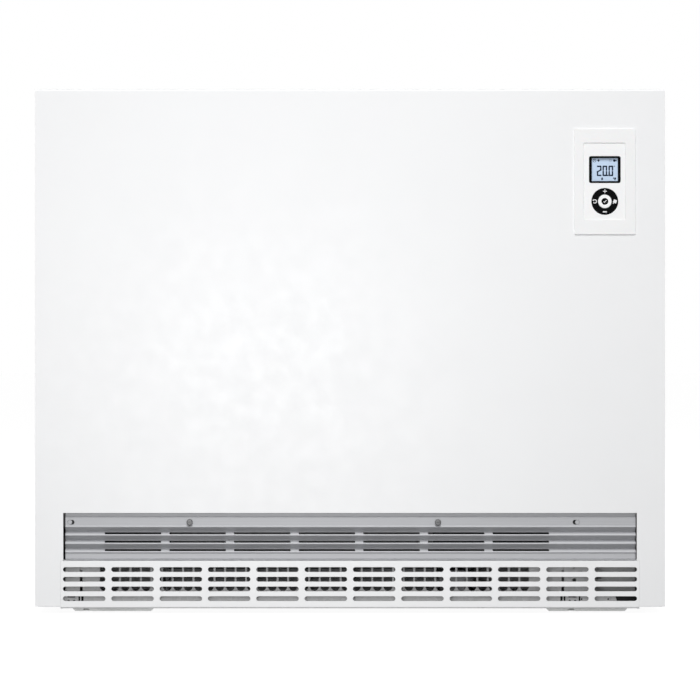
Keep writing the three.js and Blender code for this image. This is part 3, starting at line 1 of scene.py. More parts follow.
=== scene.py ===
"""The visible pieces of a floor-standing storage heater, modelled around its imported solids.

Lengths are metres.  +X runs to the right as seen from the room, +Y towards the wall, +Z up.
"""

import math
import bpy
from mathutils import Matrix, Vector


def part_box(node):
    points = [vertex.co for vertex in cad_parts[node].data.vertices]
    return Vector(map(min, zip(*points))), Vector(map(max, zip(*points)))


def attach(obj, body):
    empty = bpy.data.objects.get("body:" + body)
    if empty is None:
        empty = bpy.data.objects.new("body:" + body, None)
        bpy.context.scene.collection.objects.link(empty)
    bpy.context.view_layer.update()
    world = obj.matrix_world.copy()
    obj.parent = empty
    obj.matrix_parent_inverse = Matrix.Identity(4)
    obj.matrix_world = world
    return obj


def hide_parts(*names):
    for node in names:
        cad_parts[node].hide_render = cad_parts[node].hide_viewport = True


bl_info = {
    "name": "Storage heater",
    "version": (1, 0, 0),
    "blender": (4, 5, 0),
    "location": "View3D > Sidebar > Heater",
    "description": "Models and finishes the visible pieces of a storage heater",
    "category": "Add Mesh",
}

from contextlib import contextmanager

import bmesh
import bpy
from bpy.props import FloatProperty, FloatVectorProperty, IntProperty, PointerProperty, StringProperty
from mathutils import Vector

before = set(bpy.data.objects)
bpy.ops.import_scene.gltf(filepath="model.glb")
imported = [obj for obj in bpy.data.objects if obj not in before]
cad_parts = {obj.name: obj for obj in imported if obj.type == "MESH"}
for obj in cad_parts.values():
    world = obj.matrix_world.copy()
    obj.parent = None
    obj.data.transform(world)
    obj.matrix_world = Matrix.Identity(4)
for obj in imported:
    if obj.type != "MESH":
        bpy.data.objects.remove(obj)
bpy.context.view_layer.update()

MM = 0.001
BODY = "heater"
X, Y, Z = 0, 1, 2


# ---- Tools ---------------------------------------------------------------------------


def corners(node):
    """Lowest and highest corner of a solid at rest."""
    low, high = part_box(node)
    return Vector(low), Vector(high)


def middle_of(node):
    """Middle of a solid, across and upright."""
    low, high = corners(node)
    return (low.x + high.x) / 2, (low.z + high.z) / 2


def clear_selection():
    if bpy.context.object and bpy.context.object.mode != "OBJECT":
        bpy.ops.object.mode_set(mode="OBJECT")
    bpy.ops.object.select_all(action="DESELECT")


def activate(piece):
    clear_selection()
    piece.select_set(True)
    bpy.context.view_layer.objects.active = piece


def settled():
    """The active object, with its place and size moved into its mesh."""
    bpy.ops.object.transform_apply(location=True, rotation=True, scale=True)
    return bpy.context.object


@contextmanager
def editing(piece):
    activate(piece)
    bpy.ops.object.mode_set(mode="EDIT")
    yield
    bpy.ops.object.mode_set(mode="OBJECT")


def pick(kind, test, expected=True):
    """Selects the vertices, edges or faces of the mesh in edit mode that pass a test."""
    bpy.ops.mesh.select_mode(type=kind)
    bpy.ops.mesh.select_all(action="DESELECT")
    data = bpy.context.edit_object.data
    mesh = bmesh.from_edit_mesh(data)
    elements = {"VERT": mesh.verts, "EDGE": mesh.edges, "FACE": mesh.faces}[kind]
    chosen = [element for element in elements if test(element)]
    for element in chosen:
        element.select_set(True)
    bmesh.update_edit_mesh(data)
    if expected and not chosen:
        raise RuntimeError(f"nothing to select on {bpy.context.edit_object.name}")
    return len(chosen)


def near(a, b, within=1e-5):
    return abs(a - b) < within


def middle(edge):
    return (edge.verts[0].co + edge.verts[1].co) / 2


def runs_along(edge, axis):
    return abs((edge.verts[1].co - edge.verts[0].co).normalized()[axis]) > 0.9999


def at(edge, axis, place):
    return all(near(vert.co[axis], place) for vert in edge.verts)


def is_fold(edge, least=30):
    return len(edge.link_faces) == 2 and edge.calc_face_angle(0) > math.radians(least)


def along(axis):
    """A test for the edges that run along an axis."""
    return lambda edge: runs_along(edge, axis)


def level(axis, place):
    """A test for the edges at a place along an axis."""
    return lambda edge: at(edge, axis, place)


def rim_at(y, least=60):
    """A test for the folds at a place along Y, such as the rim of a face."""
    return lambda edge: is_fold(edge, least) and at(edge, Y, y)


def shift(test, move):
    """Moves the vertices that pass a test, in edit mode."""
    pick("VERT", test)
    bpy.ops.transform.translate(value=move)


def extrude(test, move):
    """Extrudes the edges that pass a test, in edit mode."""
    pick("EDGE", test)
    bpy.ops.mesh.extrude_edges_move(TRANSFORM_OT_translate={"value": move})


def open_up(piece, test):
    """Removes the faces that pass a test."""
    with editing(piece):
        pick("FACE", test)
        bpy.ops.mesh.delete(type="FACE")


def add_box(low, high):
    clear_selection()
    size = [b - a for a, b in zip(low, high)]
    centre = [(a + b) / 2 for a, b in zip(low, high)]
    bpy.ops.mesh.primitive_cube_add(size=1, location=centre, scale=size)
    return settled()


def add_upright(x0, x1, z0, z1, y):
    """An upright sheet that faces the room."""
    clear_selection()
    bpy.ops.mesh.primitive_plane_add(
        size=1, location=((x0 + x1) / 2, y, (z0 + z1) / 2), rotation=(math.pi / 2, 0, 0)
    )
    bpy.context.object.scale = (x1 - x0, z1 - z0, 1)
    return settled()


def add_disc_bar(x, z, radius, y0, y1, sides=48):
    """A round bar along Y."""
    clear_selection()
    bpy.ops.mesh.primitive_cylinder_add(
        vertices=sides, radius=radius, depth=y1 - y0,
        location=(x, (y0 + y1) / 2, z), rotation=(math.pi / 2, 0, 0),
    )
    return settled()


def add_slot_bar(x0, x1, z0, z1, y0, y1, sides=28):
    """A bar along Y with round ends, wide or tall."""
    wide, tall = x1 - x0, z1 - z0
    radius = min(wide, tall) / 2
    half_step = math.pi / sides
    clear_selection()
    bpy.ops.mesh.primitive_cylinder_add(
        vertices=sides, radius=radius / math.cos(half_step), depth=y1 - y0,
        location=(x0 + radius, (y0 + y1) / 2, z0 + radius), rotation=(math.pi / 2, -half_step, 0),
    )
    bar = settled()
    with editing(bar):
        if wide > tall:
            shift(lambda vert: vert.co.x > x0 + radius, (wide - tall, 0, 0))
        else:
            shift(lambda vert: vert.co.z > z0 + radius, (0, 0, tall - wide))
    return bar


def add_fold(path, x0, x1):
    """A sheet along X that follows (y, z) points; its outside lies to the left of the path."""
    (y0, z0), (y1, z1) = path[0], path[1]
    clear_selection()
    bpy.ops.mesh.primitive_plane_add(
        size=1, location=((x0 + x1) / 2, (y0 + y1) / 2, (z0 + z1) / 2),
        rotation=(math.atan2(z1 - z0, y1 - y0), 0, 0),
    )
    bpy.context.object.scale = (x1 - x0, math.hypot(y1 - y0, z1 - z0), 1)
    strip = settled()
    with editing(strip):
        pick("EDGE", lambda edge: at(edge, Y, y1) and at(edge, Z, z1))
        for (ya, za), (yb, zb) in zip(path[1:], path[2:]):
            bpy.ops.mesh.extrude_edges_move(TRANSFORM_OT_translate={"value": (0, yb - ya, zb - za)})
    return strip


def divide(place, way):
    """Cuts the whole mesh in edit mode along a plane."""
    bpy.ops.mesh.select_all(action="SELECT")
    bpy.ops.mesh.bisect(plane_co=place, plane_no=way)


def modify(piece, kind, **values):
    """Adds a modifier with these values and applies it."""
    activate(piece)
    bpy.ops.object.modifier_add(type=kind)
    modifier = piece.modifiers[-1]
    for name, value in values.items():
        setattr(modifier, name, value)
    bpy.ops.object.modifier_apply(modifier=modifier.name)
    return piece


def thicken(piece, thickness):
    """Gives a sheet its thickness behind its outside."""
    modify(piece, "SOLIDIFY", thickness=thickness, offset=-1, use_even_offset=True)


def repeat(piece, count, step):
    """Makes a row of copies, each a step on from the last."""
    return modify(
        piece, "ARRAY", count=count, use_relative_offset=False, use_constant_offset=True,
        constant_offset_displace=step,
    )


def discard(*pieces):
    for piece in pieces:
        activate(piece)
        bpy.ops.object.delete()


def cut(piece, *cutters):
    """Takes the cutters out of a piece."""
    for cutter in cutters:
        modify(piece, "BOOLEAN", operation="DIFFERENCE", solver="EXACT", object=cutter)
    discard(*cutters)
    return piece


def weld(piece, *others):
    """Joins pieces that reach into each other to one closed solid."""
    for other in others:
        modify(piece, "BOOLEAN", operation="UNION", solver="EXACT", object=other)
    discard(*others)
    return piece


def gather(*pieces):
    """Makes pieces one object, each with its own closed surface."""
    clear_selection()
    for piece in pieces:
        piece.select_set(True)
    bpy.context.view_layer.objects.active = pieces[0]
    bpy.ops.object.join()
    return bpy.context.object


def soften(piece, test, radius, segments=3):
    """Rounds the edges that pass a test."""
    with editing(piece):
        if pick("EDGE", test, expected=False):
            bpy.ops.mesh.bevel(offset=radius, segments=segments, affect="EDGES", clamp_overlap=True)
    return piece


def fit(piece, name, body, finish, slot, *nodes):
    """Names and finishes a piece, and sets it on its body in place of its solids."""
    shade(piece)
    modify(piece, "WEIGHTED_NORMAL", keep_sharp=True)
    piece.name = name
    piece.data.name = name
    piece.data.materials.clear()
    piece.data.materials.append(finish_named(finish))
    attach(piece, body)
    if nodes:
        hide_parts(*nodes)


def shade(piece, angle=32):
    activate(piece)
    bpy.ops.object.shade_smooth_by_angle(angle=math.radians(angle))


# ---- Finishes ------------------------------------------------------------------------


class Finish:
    """A material whose nodes are added one by one around the Principled shader."""

    def __init__(self, name, colour, roughness, metallic=0.0, **sockets):
        self.material = bpy.data.materials.new(name)
        self.material.use_nodes = True
        self.tree = self.material.node_tree
        self.shader = self.tree.nodes["Principled BSDF"]
        self.shader.inputs["Base Color"].default_value = (*colour, 1)
        self.shader.inputs["Roughness"].default_value = roughness
        self.shader.inputs["Metallic"].default_value = metallic
        for socket, value in sockets.items():
            self.shader.inputs[socket.replace("_", " ")].default_value = value
        self.place = self.tree.nodes.new("ShaderNodeTexCoord").outputs["Object"]
        self.height = None

    def add(self, kind, inputs=(), **values):
        node = self.tree.nodes.new(kind)
        for name, value in values.items():
            setattr(node, name, value)
        for name, value in dict(inputs).items():
            if isinstance(value, bpy.types.NodeSocket):
                self.tree.links.new(value, node.inputs[name])
            else:
                node.inputs[name].default_value = value
        return node

    def stretched(self, scale, turn=(0, 0, 0)):
        node = self.add("ShaderNodeMapping", {"Vector": self.place, "Scale": scale, "Rotation": turn})
        return node.outputs["Vector"]

    def noise(self, scale, detail=3, rough=0.5, stretch=(1, 1, 1)):
        node = self.add("ShaderNodeTexNoise", {
            "Vector": self.stretched(stretch), "Scale": scale, "Detail": detail, "Roughness": rough})
        return node.outputs["Fac"]

    def cells(self, scale):
        """Cells round scattered points; each has its distances and a colour of its own."""
        return self.add("ShaderNodeTexVoronoi", {"Vector": self.stretched((1, 1, 1)), "Scale": scale})

    def lines(self, axis, spacing):
        """Fine lines across an axis, as a height from 0 to 1."""
        node = self.add("ShaderNodeTexWave", {"Vector": self.place, "Scale": math.pi / (10 * spacing)},
                        wave_type="BANDS", bands_direction=axis, wave_profile="SIN")
        return node.outputs["Fac"]

    def between(self, value, low, high, start=0.0, end=1.0):
        """A value mapped from start and end to low and high."""
        node = self.add("ShaderNodeMapRange", {
            "Value": value, "From Min": start, "From Max": end, "To Min": low, "To Max": high})
        return node.outputs["Result"]

    def ramp(self, value, *stops):
        """A colour that follows a value through stops of a place and a colour."""
        node = self.add("ShaderNodeValToRGB", {"Fac": value})
        elements = node.color_ramp.elements
        while len(elements) < len(stops):
            elements.new(0.5)
        for element, (place, colour) in zip(elements, stops):
            element.position = place
            element.color = (*colour, 1)
        return node.outputs["Color"]

    def colour(self, value, *stops):
        self.tree.links.new(self.ramp(value, *stops), self.shader.inputs["Base Color"])

    def mottle(self, scale, detail, dark, light, top=0.7):
        """Lets the colour wander between two tones, and gives the noise that it follows."""
        tone = self.noise(scale, detail)
        self.colour(tone, (0.3, dark), (top, light))
        return tone

    def grain(self, scale, detail, depth, strength):
        self.relief(self.noise(scale, detail), depth, strength)

    def blend(self, value, first, second):
        node = self.add("ShaderNodeMix", data_type="RGBA", blend_type="MIX")
        factor, first_colour, second_colour = node.inputs["Factor"], node.inputs[6], node.inputs[7]
        for socket, item in ((factor, value), (first_colour, first), (second_colour, second)):
            if isinstance(item, bpy.types.NodeSocket):
                self.tree.links.new(item, socket)
            else:
                socket.default_value = item if isinstance(item, float) else (*item, 1)
        return node.outputs[2]

    def roughness(self, value, low, high, start=0.3, end=0.7):
        self.tree.links.new(self.between(value, low, high, start, end), self.shader.inputs["Roughness"])

    def relief(self, value, depth, strength):
        """Adds a relief; a later one lies on the earlier ones."""
        inputs = {"Height": value, "Distance": depth, "Strength": strength}
        if self.height:
            inputs["Normal"] = self.height
        self.height = self.add("ShaderNodeBump", inputs).outputs["Normal"]
        self.tree.links.new(self.height, self.shader.inputs["Normal"])


def shaded(colour, by):
    return tuple(min(1.0, c * by) for c in colour)


def coat_finish(name):
    """Powder-coated steel: an even colour with a fine orange peel."""
    colour, roughness = tuple(settings().casing.colour), settings().casing.roughness
    finish = Finish(name, colour, roughness, Coat_Weight=0.12, Coat_Roughness=0.3)
    finish.mottle(9, 3, shaded(colour, 0.988), colour)
    finish.roughness(finish.noise(60, 2), roughness - 0.05, roughness + 0.06)
    finish.grain(520, 2, 0.00003, 0.35)
    return finish


def moulding_finish(name):
    """White moulded plastic with a fine spark-eroded grain."""
    control = settings().control
    colour = tuple(control.face_colour if name == "face_moulding" else control.colour)
    finish = Finish(name, colour, 0.36, Subsurface_Weight=0.03, Subsurface_Scale=0.001)
    finish.mottle(25, 2, shaded(colour, 0.992), colour)
    finish.roughness(finish.noise(240, 3), 0.31, 0.42)
    finish.grain(2600, 2, 0.000012, 0.4)
    return finish


def aluminium_finish(name):
    """Anodised profile, with the fine lines of the die along X."""
    colour = tuple(settings().outlet.colour)
    finish = Finish(name, colour, 0.42, settings().outlet.metallic, Specular_IOR_Level=0.25)
    drawn = finish.noise(900, 4, 0.6, stretch=(0.012, 1, 1))
    finish.colour(drawn, (0.25, shaded(colour, 0.94)), (0.75, shaded(colour, 1.04)))
    finish.roughness(drawn, 0.38, 0.5)
    finish.relief(drawn, 0.00002, 0.5)
    finish.grain(3000, 2, 0.000008, 0.3)
    return finish


# The setting that holds each galvanised sheet's colour, then its metallic share, its roughness and the
# difference between its crystals.
ZINC = {
    "galvanised_sheet": ("zinc_colour", 0.25, 0.5, 0.1),
    "tray_sheet": ("tray_colour", 0.2, 0.5, 0.1),
    # The feet's sheet is far paler than the other galvanised sheets: painted light, for the light the feet
    # lack.
    "foot_sheet": ("foot_lit_colour", 0.36, 0.5, 0.05),
    # The sheets behind the outlet are made near black: painted shade for the shade behind the outlet's
    # slots and gaps, not their own colour.
    "duct_sheet": ("duct_shade_colour", 0.4, 0.55, 0.1),
}


def zinc_finish(name):
    """Hot-dip galvanised sheet: crystals a few millimetres across, each a little different; the feet's copy
    is made paler as painted light, and the copy behind the outlet near black as painted shade.
    """
    setting, metallic, roughness, spangle = ZINC[name]
    colour = tuple(getattr(settings().inner, setting))
    finish = Finish(name, colour, roughness, metallic)
    crystals = finish.cells(150)
    tone = finish.add("ShaderNodeSeparateColor", {"Color": crystals.outputs["Color"]}).outputs["Red"]
    value = finish.blend(0.35, tone, finish.noise(40, 4))
    finish.colour(value, (0.2, shaded(colour, 1 - spangle)), (0.8, shaded(colour, 1 + spangle)))
    finish.roughness(tone, roughness - 0.07, roughness + 0.1, 0, 1)
    finish.grain(700, 3, 0.00002, 0.4)
    return finish


def lamination_finish(name):
    """The motor's stack of laminations."""
    finish = Finish(name, (0.3, 0.3, 0.31), 0.5, 0.5)
    finish.mottle(60, 3, (0.24, 0.24, 0.25), (0.36, 0.36, 0.37))
    finish.relief(finish.lines("X", 0.001), 0.0002, 0.8)
    finish.grain(500, 3, 0.00003, 0.5)
    return finish


def fan_finish(name):
    """The dull grey sheet of the fan's blades and scroll."""
    finish = Finish(name, (0.24, 0.24, 0.245), 0.75, Specular_IOR_Level=0.05)
    worn = finish.mottle(160, 4, (0.21, 0.21, 0.215), (0.27, 0.27, 0.276), 0.75)
    finish.roughness(worn, 0.66, 0.84)
    finish.grain(900, 3, 0.00002, 0.4)
    return finish


def fastener_finish(name):
    """Blackened steel that turning has worn a little."""
    finish = Finish(name, (0.13, 0.13, 0.133), 0.4, 0.2)
    worn = finish.mottle(420, 4, (0.1, 0.1, 0.103), (0.17, 0.17, 0.173), 0.75)
    finish.roughness(worn, 0.28, 0.46)
    finish.grain(2500, 2, 0.00001, 0.5)
    return finish


def gloss_black_finish(name):
    """The polished black plastic round the display."""
    finish = Finish(name, (0.003, 0.003, 0.0033), 0.16, Specular_IOR_Level=0.02)
    finish.mottle(200, 2, (0.0025, 0.0025, 0.003), (0.004, 0.004, 0.0045))
    finish.roughness(finish.noise(400, 3), 0.13, 0.21)
    finish.grain(1500, 2, 0.000006, 0.3)
    return finish


def key_black_finish(name):
    """The fine-grained black plastic of the keys."""
    finish = Finish(name, (0.004, 0.004, 0.0043), 0.42, Specular_IOR_Level=0.02)
    finish.mottle(300, 2, (0.003, 0.003, 0.0035), (0.005, 0.005, 0.0055))
    finish.roughness(finish.noise(500, 3), 0.36, 0.5)
    finish.grain(3200, 2, 0.000012, 0.5)
    return finish


def key_white_finish(name):
    """The fine-grained white plastic of the round key."""
    finish = Finish(name, (0.96, 0.96, 0.965), 0.4)
    finish.mottle(300, 2, (0.95, 0.95, 0.955), (0.97, 0.97, 0.975))
    finish.grain(3200, 2, 0.00001, 0.4)
    return finish


def display_finish(name):
    """The glass of the display over its lit field, with the fine grid of its cells."""
    colour, cell = tuple(settings().control.display_colour), 0.0006
    finish = Finish(name, colour, 0.2, Specular_IOR_Level=0.3)
    lines = {0: finish.lines("X", cell), 1: finish.lines("Z", cell)}
    grid = finish.add("ShaderNodeMath", lines, operation="MAXIMUM").outputs[0]
    lit = finish.ramp(finish.noise(45, 2), (0.25, shaded(colour, 0.93)), (0.75, shaded(colour, 1.04)))
    tinted = finish.blend(finish.between(grid, 0.0, 0.08, 0.9, 1.0), lit, shaded(colour, 0.8))
    finish.tree.links.new(tinted, finish.shader.inputs["Base Color"])
    return finish


def ink_finish(name):
    """The dark blue of the display's marks."""
    finish = Finish(name, (0.012, 0.024, 0.055), 0.3, Specular_IOR_Level=0.1)
    finish.mottle(900, 2, (0.01, 0.02, 0.048), (0.015, 0.028, 0.062))
    return finish


def print_finish(name):
    """The white print on the keys."""
    finish = Finish(name, (0.86, 0.86, 0.87), 0.5)
    finish.mottle(1200, 2, (0.82, 0.82, 0.83), (0.9, 0.9, 0.91))
    return finish


def circuit_finish(name):
    """Green board with copper tracks under its lacquer."""
    finish = Finish(name, (0.03, 0.12, 0.06), 0.35, Coat_Weight=0.4)
    tracks = finish.add("ShaderNodeTexBrick", {
        "Vector": finish.stretched((1, 1, 1), (0, math.pi / 2, 0)), "Scale": 120.0, "Mortar Size": 0.06,
        "Color1": (0.02, 0.1, 0.05, 1), "Color2": (0.03, 0.13, 0.07, 1), "Mortar": (0.1, 0.26, 0.13, 1)})
    finish.tree.links.new(tracks.outputs["Color"], finish.shader.inputs["Base Color"])
    finish.relief(tracks.outputs["Fac"], 0.00004, 0.5)
    return finish


def terminal_finish(name):
    """Cream moulded plastic that stands heat."""
    finish = Finish(name, (0.75, 0.74, 0.7), 0.5)
    finish.mottle(80, 3, (0.7, 0.69, 0.65), (0.78, 0.77, 0.73))
    finish.grain(1500, 2, 0.00003, 0.5)
    return finish


def insulation_finish(name):
    """Pressed mineral board: fibres and shallow pits."""
    finish = Finish(name, (0.72, 0.68, 0.58), 0.95)
    fibres = finish.noise(260, 6, 0.7, stretch=(1, 1, 0.25))
    finish.colour(fibres, (0.25, (0.55, 0.5, 0.4)), (0.75, (0.8, 0.77, 0.68)))
    finish.relief(fibres, 0.0005, 0.7)
    finish.relief(finish.cells(90).outputs["Distance"], 0.0004, 0.3)
    return finish


def brick_finish(name):
    """Dense magnesite brick: dark brown, speckled and slightly porous."""
    finish = Finish(name, (0.1, 0.07, 0.055), 0.85)
    speckle = finish.noise(420, 8, 0.75)
    dark, brown, pale = (0.05, 0.035, 0.028), (0.11, 0.08, 0.065), (0.24, 0.19, 0.16)
    finish.colour(speckle, (0.3, dark), (0.55, brown), (0.78, pale))
    finish.roughness(speckle, 0.75, 0.95)
    finish.relief(finish.cells(200).outputs["Distance"], 0.0005, 0.5)
    finish.relief(speckle, 0.0003, 0.6)
    return finish


def element_finish(name):
    """Steel sheath that heat has turned brown and blue."""
    finish = Finish(name, (0.2, 0.16, 0.13), 0.5, 0.8)
    heat = finish.noise(30, 5)
    finish.colour(heat, (0.3, (0.13, 0.1, 0.09)), (0.5, (0.26, 0.19, 0.13)), (0.72, (0.15, 0.15, 0.2)))
    finish.roughness(heat, 0.4, 0.65)
    finish.grain(900, 3, 0.00004, 0.5)
    return finish


def rubber_finish(name):
    """Black rubber with a faint bloom."""
    finish = Finish(name, (0.01, 0.01, 0.0105), 0.75, Specular_IOR_Level=0.2)
    finish.mottle(120, 4, (0.007, 0.007, 0.0075), (0.016, 0.016, 0.0165), 0.75)
    finish.grain(1800, 3, 0.00003, 0.6)
    return finish


def bimetal_finish(name):
    """Rolled strip, with its lines along Y."""
    finish = Finish(name, (0.45, 0.34, 0.16), 0.35, 0.95)
    rolled = finish.noise(700, 4, 0.6, stretch=(1, 0.05, 1))
    finish.colour(rolled, (0.3, (0.38, 0.28, 0.13)), (0.7, (0.5, 0.39, 0.2)))
    finish.relief(rolled, 0.00002, 0.5)
    return finish


# No name here is one that the frame gives a material.
FINISHES = {
    "powder_coat": coat_finish,
    "grille_coat": coat_finish,
    "white_moulding": moulding_finish,
    "face_moulding": moulding_finish,
    "anodised_aluminium": aluminium_finish,
    **dict.fromkeys(ZINC, zinc_finish),
    "motor_stack": lamination_finish,
    "fan_sheet": fan_finish,
    "fastener_steel": fastener_finish,
    "gloss_black": gloss_black_finish,
    "key_black": key_black_finish,
    "key_white": key_white_finish,
    "display_glass": display_finish,
    "display_ink": ink_finish,
    "white_print": print_finish,
    "lacquered_board": circuit_finish,
    "terminal_moulding": terminal_finish,
    "mineral_board": insulation_finish,
    "magnesite": brick_finish,
    "scaled_steel": element_finish,
    "black_rubber": rubber_finish,
    "bimetal_strip": bimetal_finish,
}


def finish_named(name):
    """The material of that name, made when it is first asked for."""
    return bpy.data.materials.get(name) or FINISHES[name](name).material


# ---- Settings ------------------------------------------------------------------------


def colour_value(name, description, default):
    return FloatVectorProperty(
        name=name, description=description, subtype="COLOR", size=3, min=0, max=1, default=default
    )


def share_value(name, description, default):
    return FloatProperty(
        name=name, description=description, subtype="FACTOR", min=0, max=1, default=default
    )


def length_value(name, description, default):
    return FloatProperty(name=name, description=description, unit="LENGTH", default=default)


def power_value(name, description, default):
    return FloatProperty(name=name, description=description, unit="POWER", default=default)


def count_value(name, description, default):
    return IntProperty(name=name, description=description, min=1, default=default)


class HeaterCasing(bpy.types.PropertyGroup):
    colour: colour_value("Coat", "Colour of the powder coat", (0.905, 0.91, 0.918))
    roughness: share_value("Roughness", "Roughness of the powder coat", 0.42)
    sheet: length_value("Sheet", "Thickness of the casing's sheet", 1.2 * MM)
    bend: length_value("Bend", "Outer radius of the casing's bends", 2.5 * MM)
    rim: length_value("Rim", "Radius of the bends round the casing's openings", 0.3 * MM)


class HeaterOutlet(bpy.types.PropertyGroup):
    colour: colour_value("Aluminium", "Colour of the anodised profile", (0.455, 0.46, 0.478))
    metallic: share_value("Metallic", "How far the profile reflects as bare metal", 0.08)
    wall: length_value("Wall", "Thickness of the profile", 1.6 * MM)
    slots: count_value("Slots", "Slots in each row", 7)
    edge: length_value("Edges", "Radius of the profile's edges", 0.3 * MM)


class HeaterIntake(bpy.types.PropertyGroup):
    sheet: length_value("Sheet", "Thickness of the grille", 1.8 * MM)
    columns: count_value("Columns", "Slots in each row", 12)
    rows: count_value("Rows", "Rows of slots", 4)
    slot_height: length_value("Slot height", "Height of a slot", 6 * MM)
    rim: length_value("Rim", "Radius of the rounded rim of a slot", 0.4 * MM)


class HeaterControl(bpy.types.PropertyGroup):
    colour: colour_value("Moulding", "Colour of the white mouldings", (0.925, 0.928, 0.932))
    face_colour: colour_value("Face", "Colour of the face behind the surround", (0.95, 0.953, 0.958))
    display_colour: colour_value("Display", "Colour of the display's field", (0.6, 0.735, 0.925))
    reading: StringProperty(name="Reading", description="Digits that the display shows", default="20.0")
    edge: length_value("Edge", "Radius of the surround's outer edge", 0.2 * MM)


class HeaterInner(bpy.types.PropertyGroup):
    zinc_colour: colour_value("Galvanised", "Colour of the inner sheets", (0.48, 0.48, 0.485))
    tray_colour: colour_value("Tray", "Colour of the base tray", (0.44, 0.44, 0.445))
    # Painted light: the feet are made far paler than galvanised sheet, to stand in for light they lack.
    foot_lit_colour: colour_value("Feet", "Colour of the feet", (0.85, 0.86, 0.85))
    # Painted shade: near black stands for the shade behind the outlet, not for sheets darkened by heat.
    duct_shade_colour: colour_value("Duct", "Colour of the heated sheets behind the outlet", (0.07, 0.07, 0.073))


class HeaterStudio(bpy.types.PropertyGroup):
    distance: length_value("Distance", "From the camera to the front of the heater", 2.98)
    camera_height: length_value("Height", "Height of the camera above the floor", 0.3269)
    focal_length: FloatProperty(name="Focal length", description="In millimetres, on a 36 mm sensor",
                                default=123.8)
    key: power_value("Key", "Power of the high soft light", 149)
    fill: power_value("Fill", "Power of the front light", 8.1)
    side: power_value("Sides", "Power of each light behind, to the sides", 100)
    ambient: FloatProperty(name="Ambient", description="Strength of the even light all round",
                           default=0.12)


class HeaterSettings(bpy.types.PropertyGroup):
    casing: PointerProperty(type=HeaterCasing)
    outlet: PointerProperty(type=HeaterOutlet)
    intake: PointerProperty(type=HeaterIntake)
    control: PointerProperty(type=HeaterControl)
    inner: PointerProperty(type=HeaterInner)
    studio: PointerProperty(type=HeaterStudio)


def settings():
    return bpy.context.scene.heater


# ---- Stage ---------------------------------------------------------------------------


# Each light's place and target, the side of its square, and the setting that holds its power.
LIGHTS = {
    "key_light": ((0.0, -3.0, 3.7), (0, -0.1, 0.2), 2.2, "key"),
    "front_light": ((-0.18, -1.7, 0.3), (0, -0.1, 0.35), 0.5, "fill"),
    "left_light": ((-4.2, 1.9, 0.9), (0, 0.1, 0.3), 1.8, "side"),
    "right_light": ((4.2, 1.9, 0.9), (0, 0.1, 0.3), 1.8, "side"),
}


class HEATER_OT_stage(bpy.types.Operator):
    """Sets up the camera, the soft lights and the pale floor"""

    bl_idname = "heater.stage"
    bl_label = "Stage"

    def execute(self, context):
        studio = settings().studio
        scene = context.scene
        front = corners("front_panel")[0].y
        clear_selection()
        bpy.ops.object.camera_add(
            location=(0, front - studio.distance, studio.camera_height), rotation=(math.pi / 2, 0, 0)
        )
        camera = context.object
        camera.name = "camera"
        camera.data.sensor_width = 36
        camera.data.lens = studio.focal_length
        scene.camera = camera
        scene.view_settings.view_transform = "Standard"
        for name, (place, target, size, power) in LIGHTS.items():
            self.lamp(name, place, target, size, getattr(studio, power))
        self.surroundings(scene, studio.ambient)
        self.floor()
        return {"FINISHED"}

    def lamp(self, name, place, target, size, power):
        clear_selection()
        turn = (Vector(target) - Vector(place)).to_track_quat("-Z", "Y")
        bpy.ops.object.light_add(type="AREA", location=place, rotation=turn.to_euler())
        lamp = bpy.context.object
        lamp.name = name
        lamp.data.shape = "SQUARE"
        lamp.data.size = size
        lamp.data.energy = power

    def surroundings(self, scene, ambient):
        world = bpy.data.worlds.new("surroundings")
        scene.world = world
        world.use_nodes = True
        tree = world.node_tree
        background = tree.nodes["Background"]
        background.inputs["Color"].default_value = (1, 1, 1, 1)
        strength = tree.nodes.new("ShaderNodeMapRange")
        tree.links.new(seen_rays(tree), strength.inputs["Value"])
        strength.inputs["To Min"].default_value = ambient
        strength.inputs["To Max"].default_value = 1
        tree.links.new(strength.outputs["Result"], background.inputs["Strength"])

    def floor(self):
        width, glow = 60, 0.92
        clear_selection()
        bpy.ops.mesh.primitive_plane_add(size=width)
        floor = settled()
        floor.name = "floor"
        paper = bpy.data.materials.new("studio_paper")
        paper.use_nodes = True
        tree = paper.node_tree
        shader = tree.nodes["Principled BSDF"]
        shader.inputs["Base Color"].default_value = (0.2, 0.2, 0.2, 1)
        shader.inputs["Roughness"].default_value = 0.9
        shader.inputs["Specular IOR Level"].default_value = 0.1
        shader.inputs["Emission Color"].default_value = (1, 1, 1, 1)
        lift = tree.nodes.new("ShaderNodeMath")
        lift.operation = "MULTIPLY"
        lift.inputs[1].default_value = glow
        tree.links.new(seen_rays(tree), lift.inputs[0])
        tree.links.new(lift.outputs[0], shader.inputs["Emission Strength"])
        floor.data.materials.append(paper)


def seen_rays(tree):
    """1 for the rays that show the background: from the camera, or by gloss or glass."""
    path = tree.nodes.new("ShaderNodeLightPath")
    total = path.outputs["Is Camera Ray"]
    for other in ("Is Glossy Ray", "Is Transmission Ray"):
        greatest = tree.nodes.new("ShaderNodeMath")
        greatest.operation = "MAXIMUM"
        tree.links.new(total, greatest.inputs[0])
        tree.links.new(path.outputs[other], greatest.inputs[1])
        total = greatest.outputs[0]
    return total


# ---- Casing --------------------------------------------------------------------------


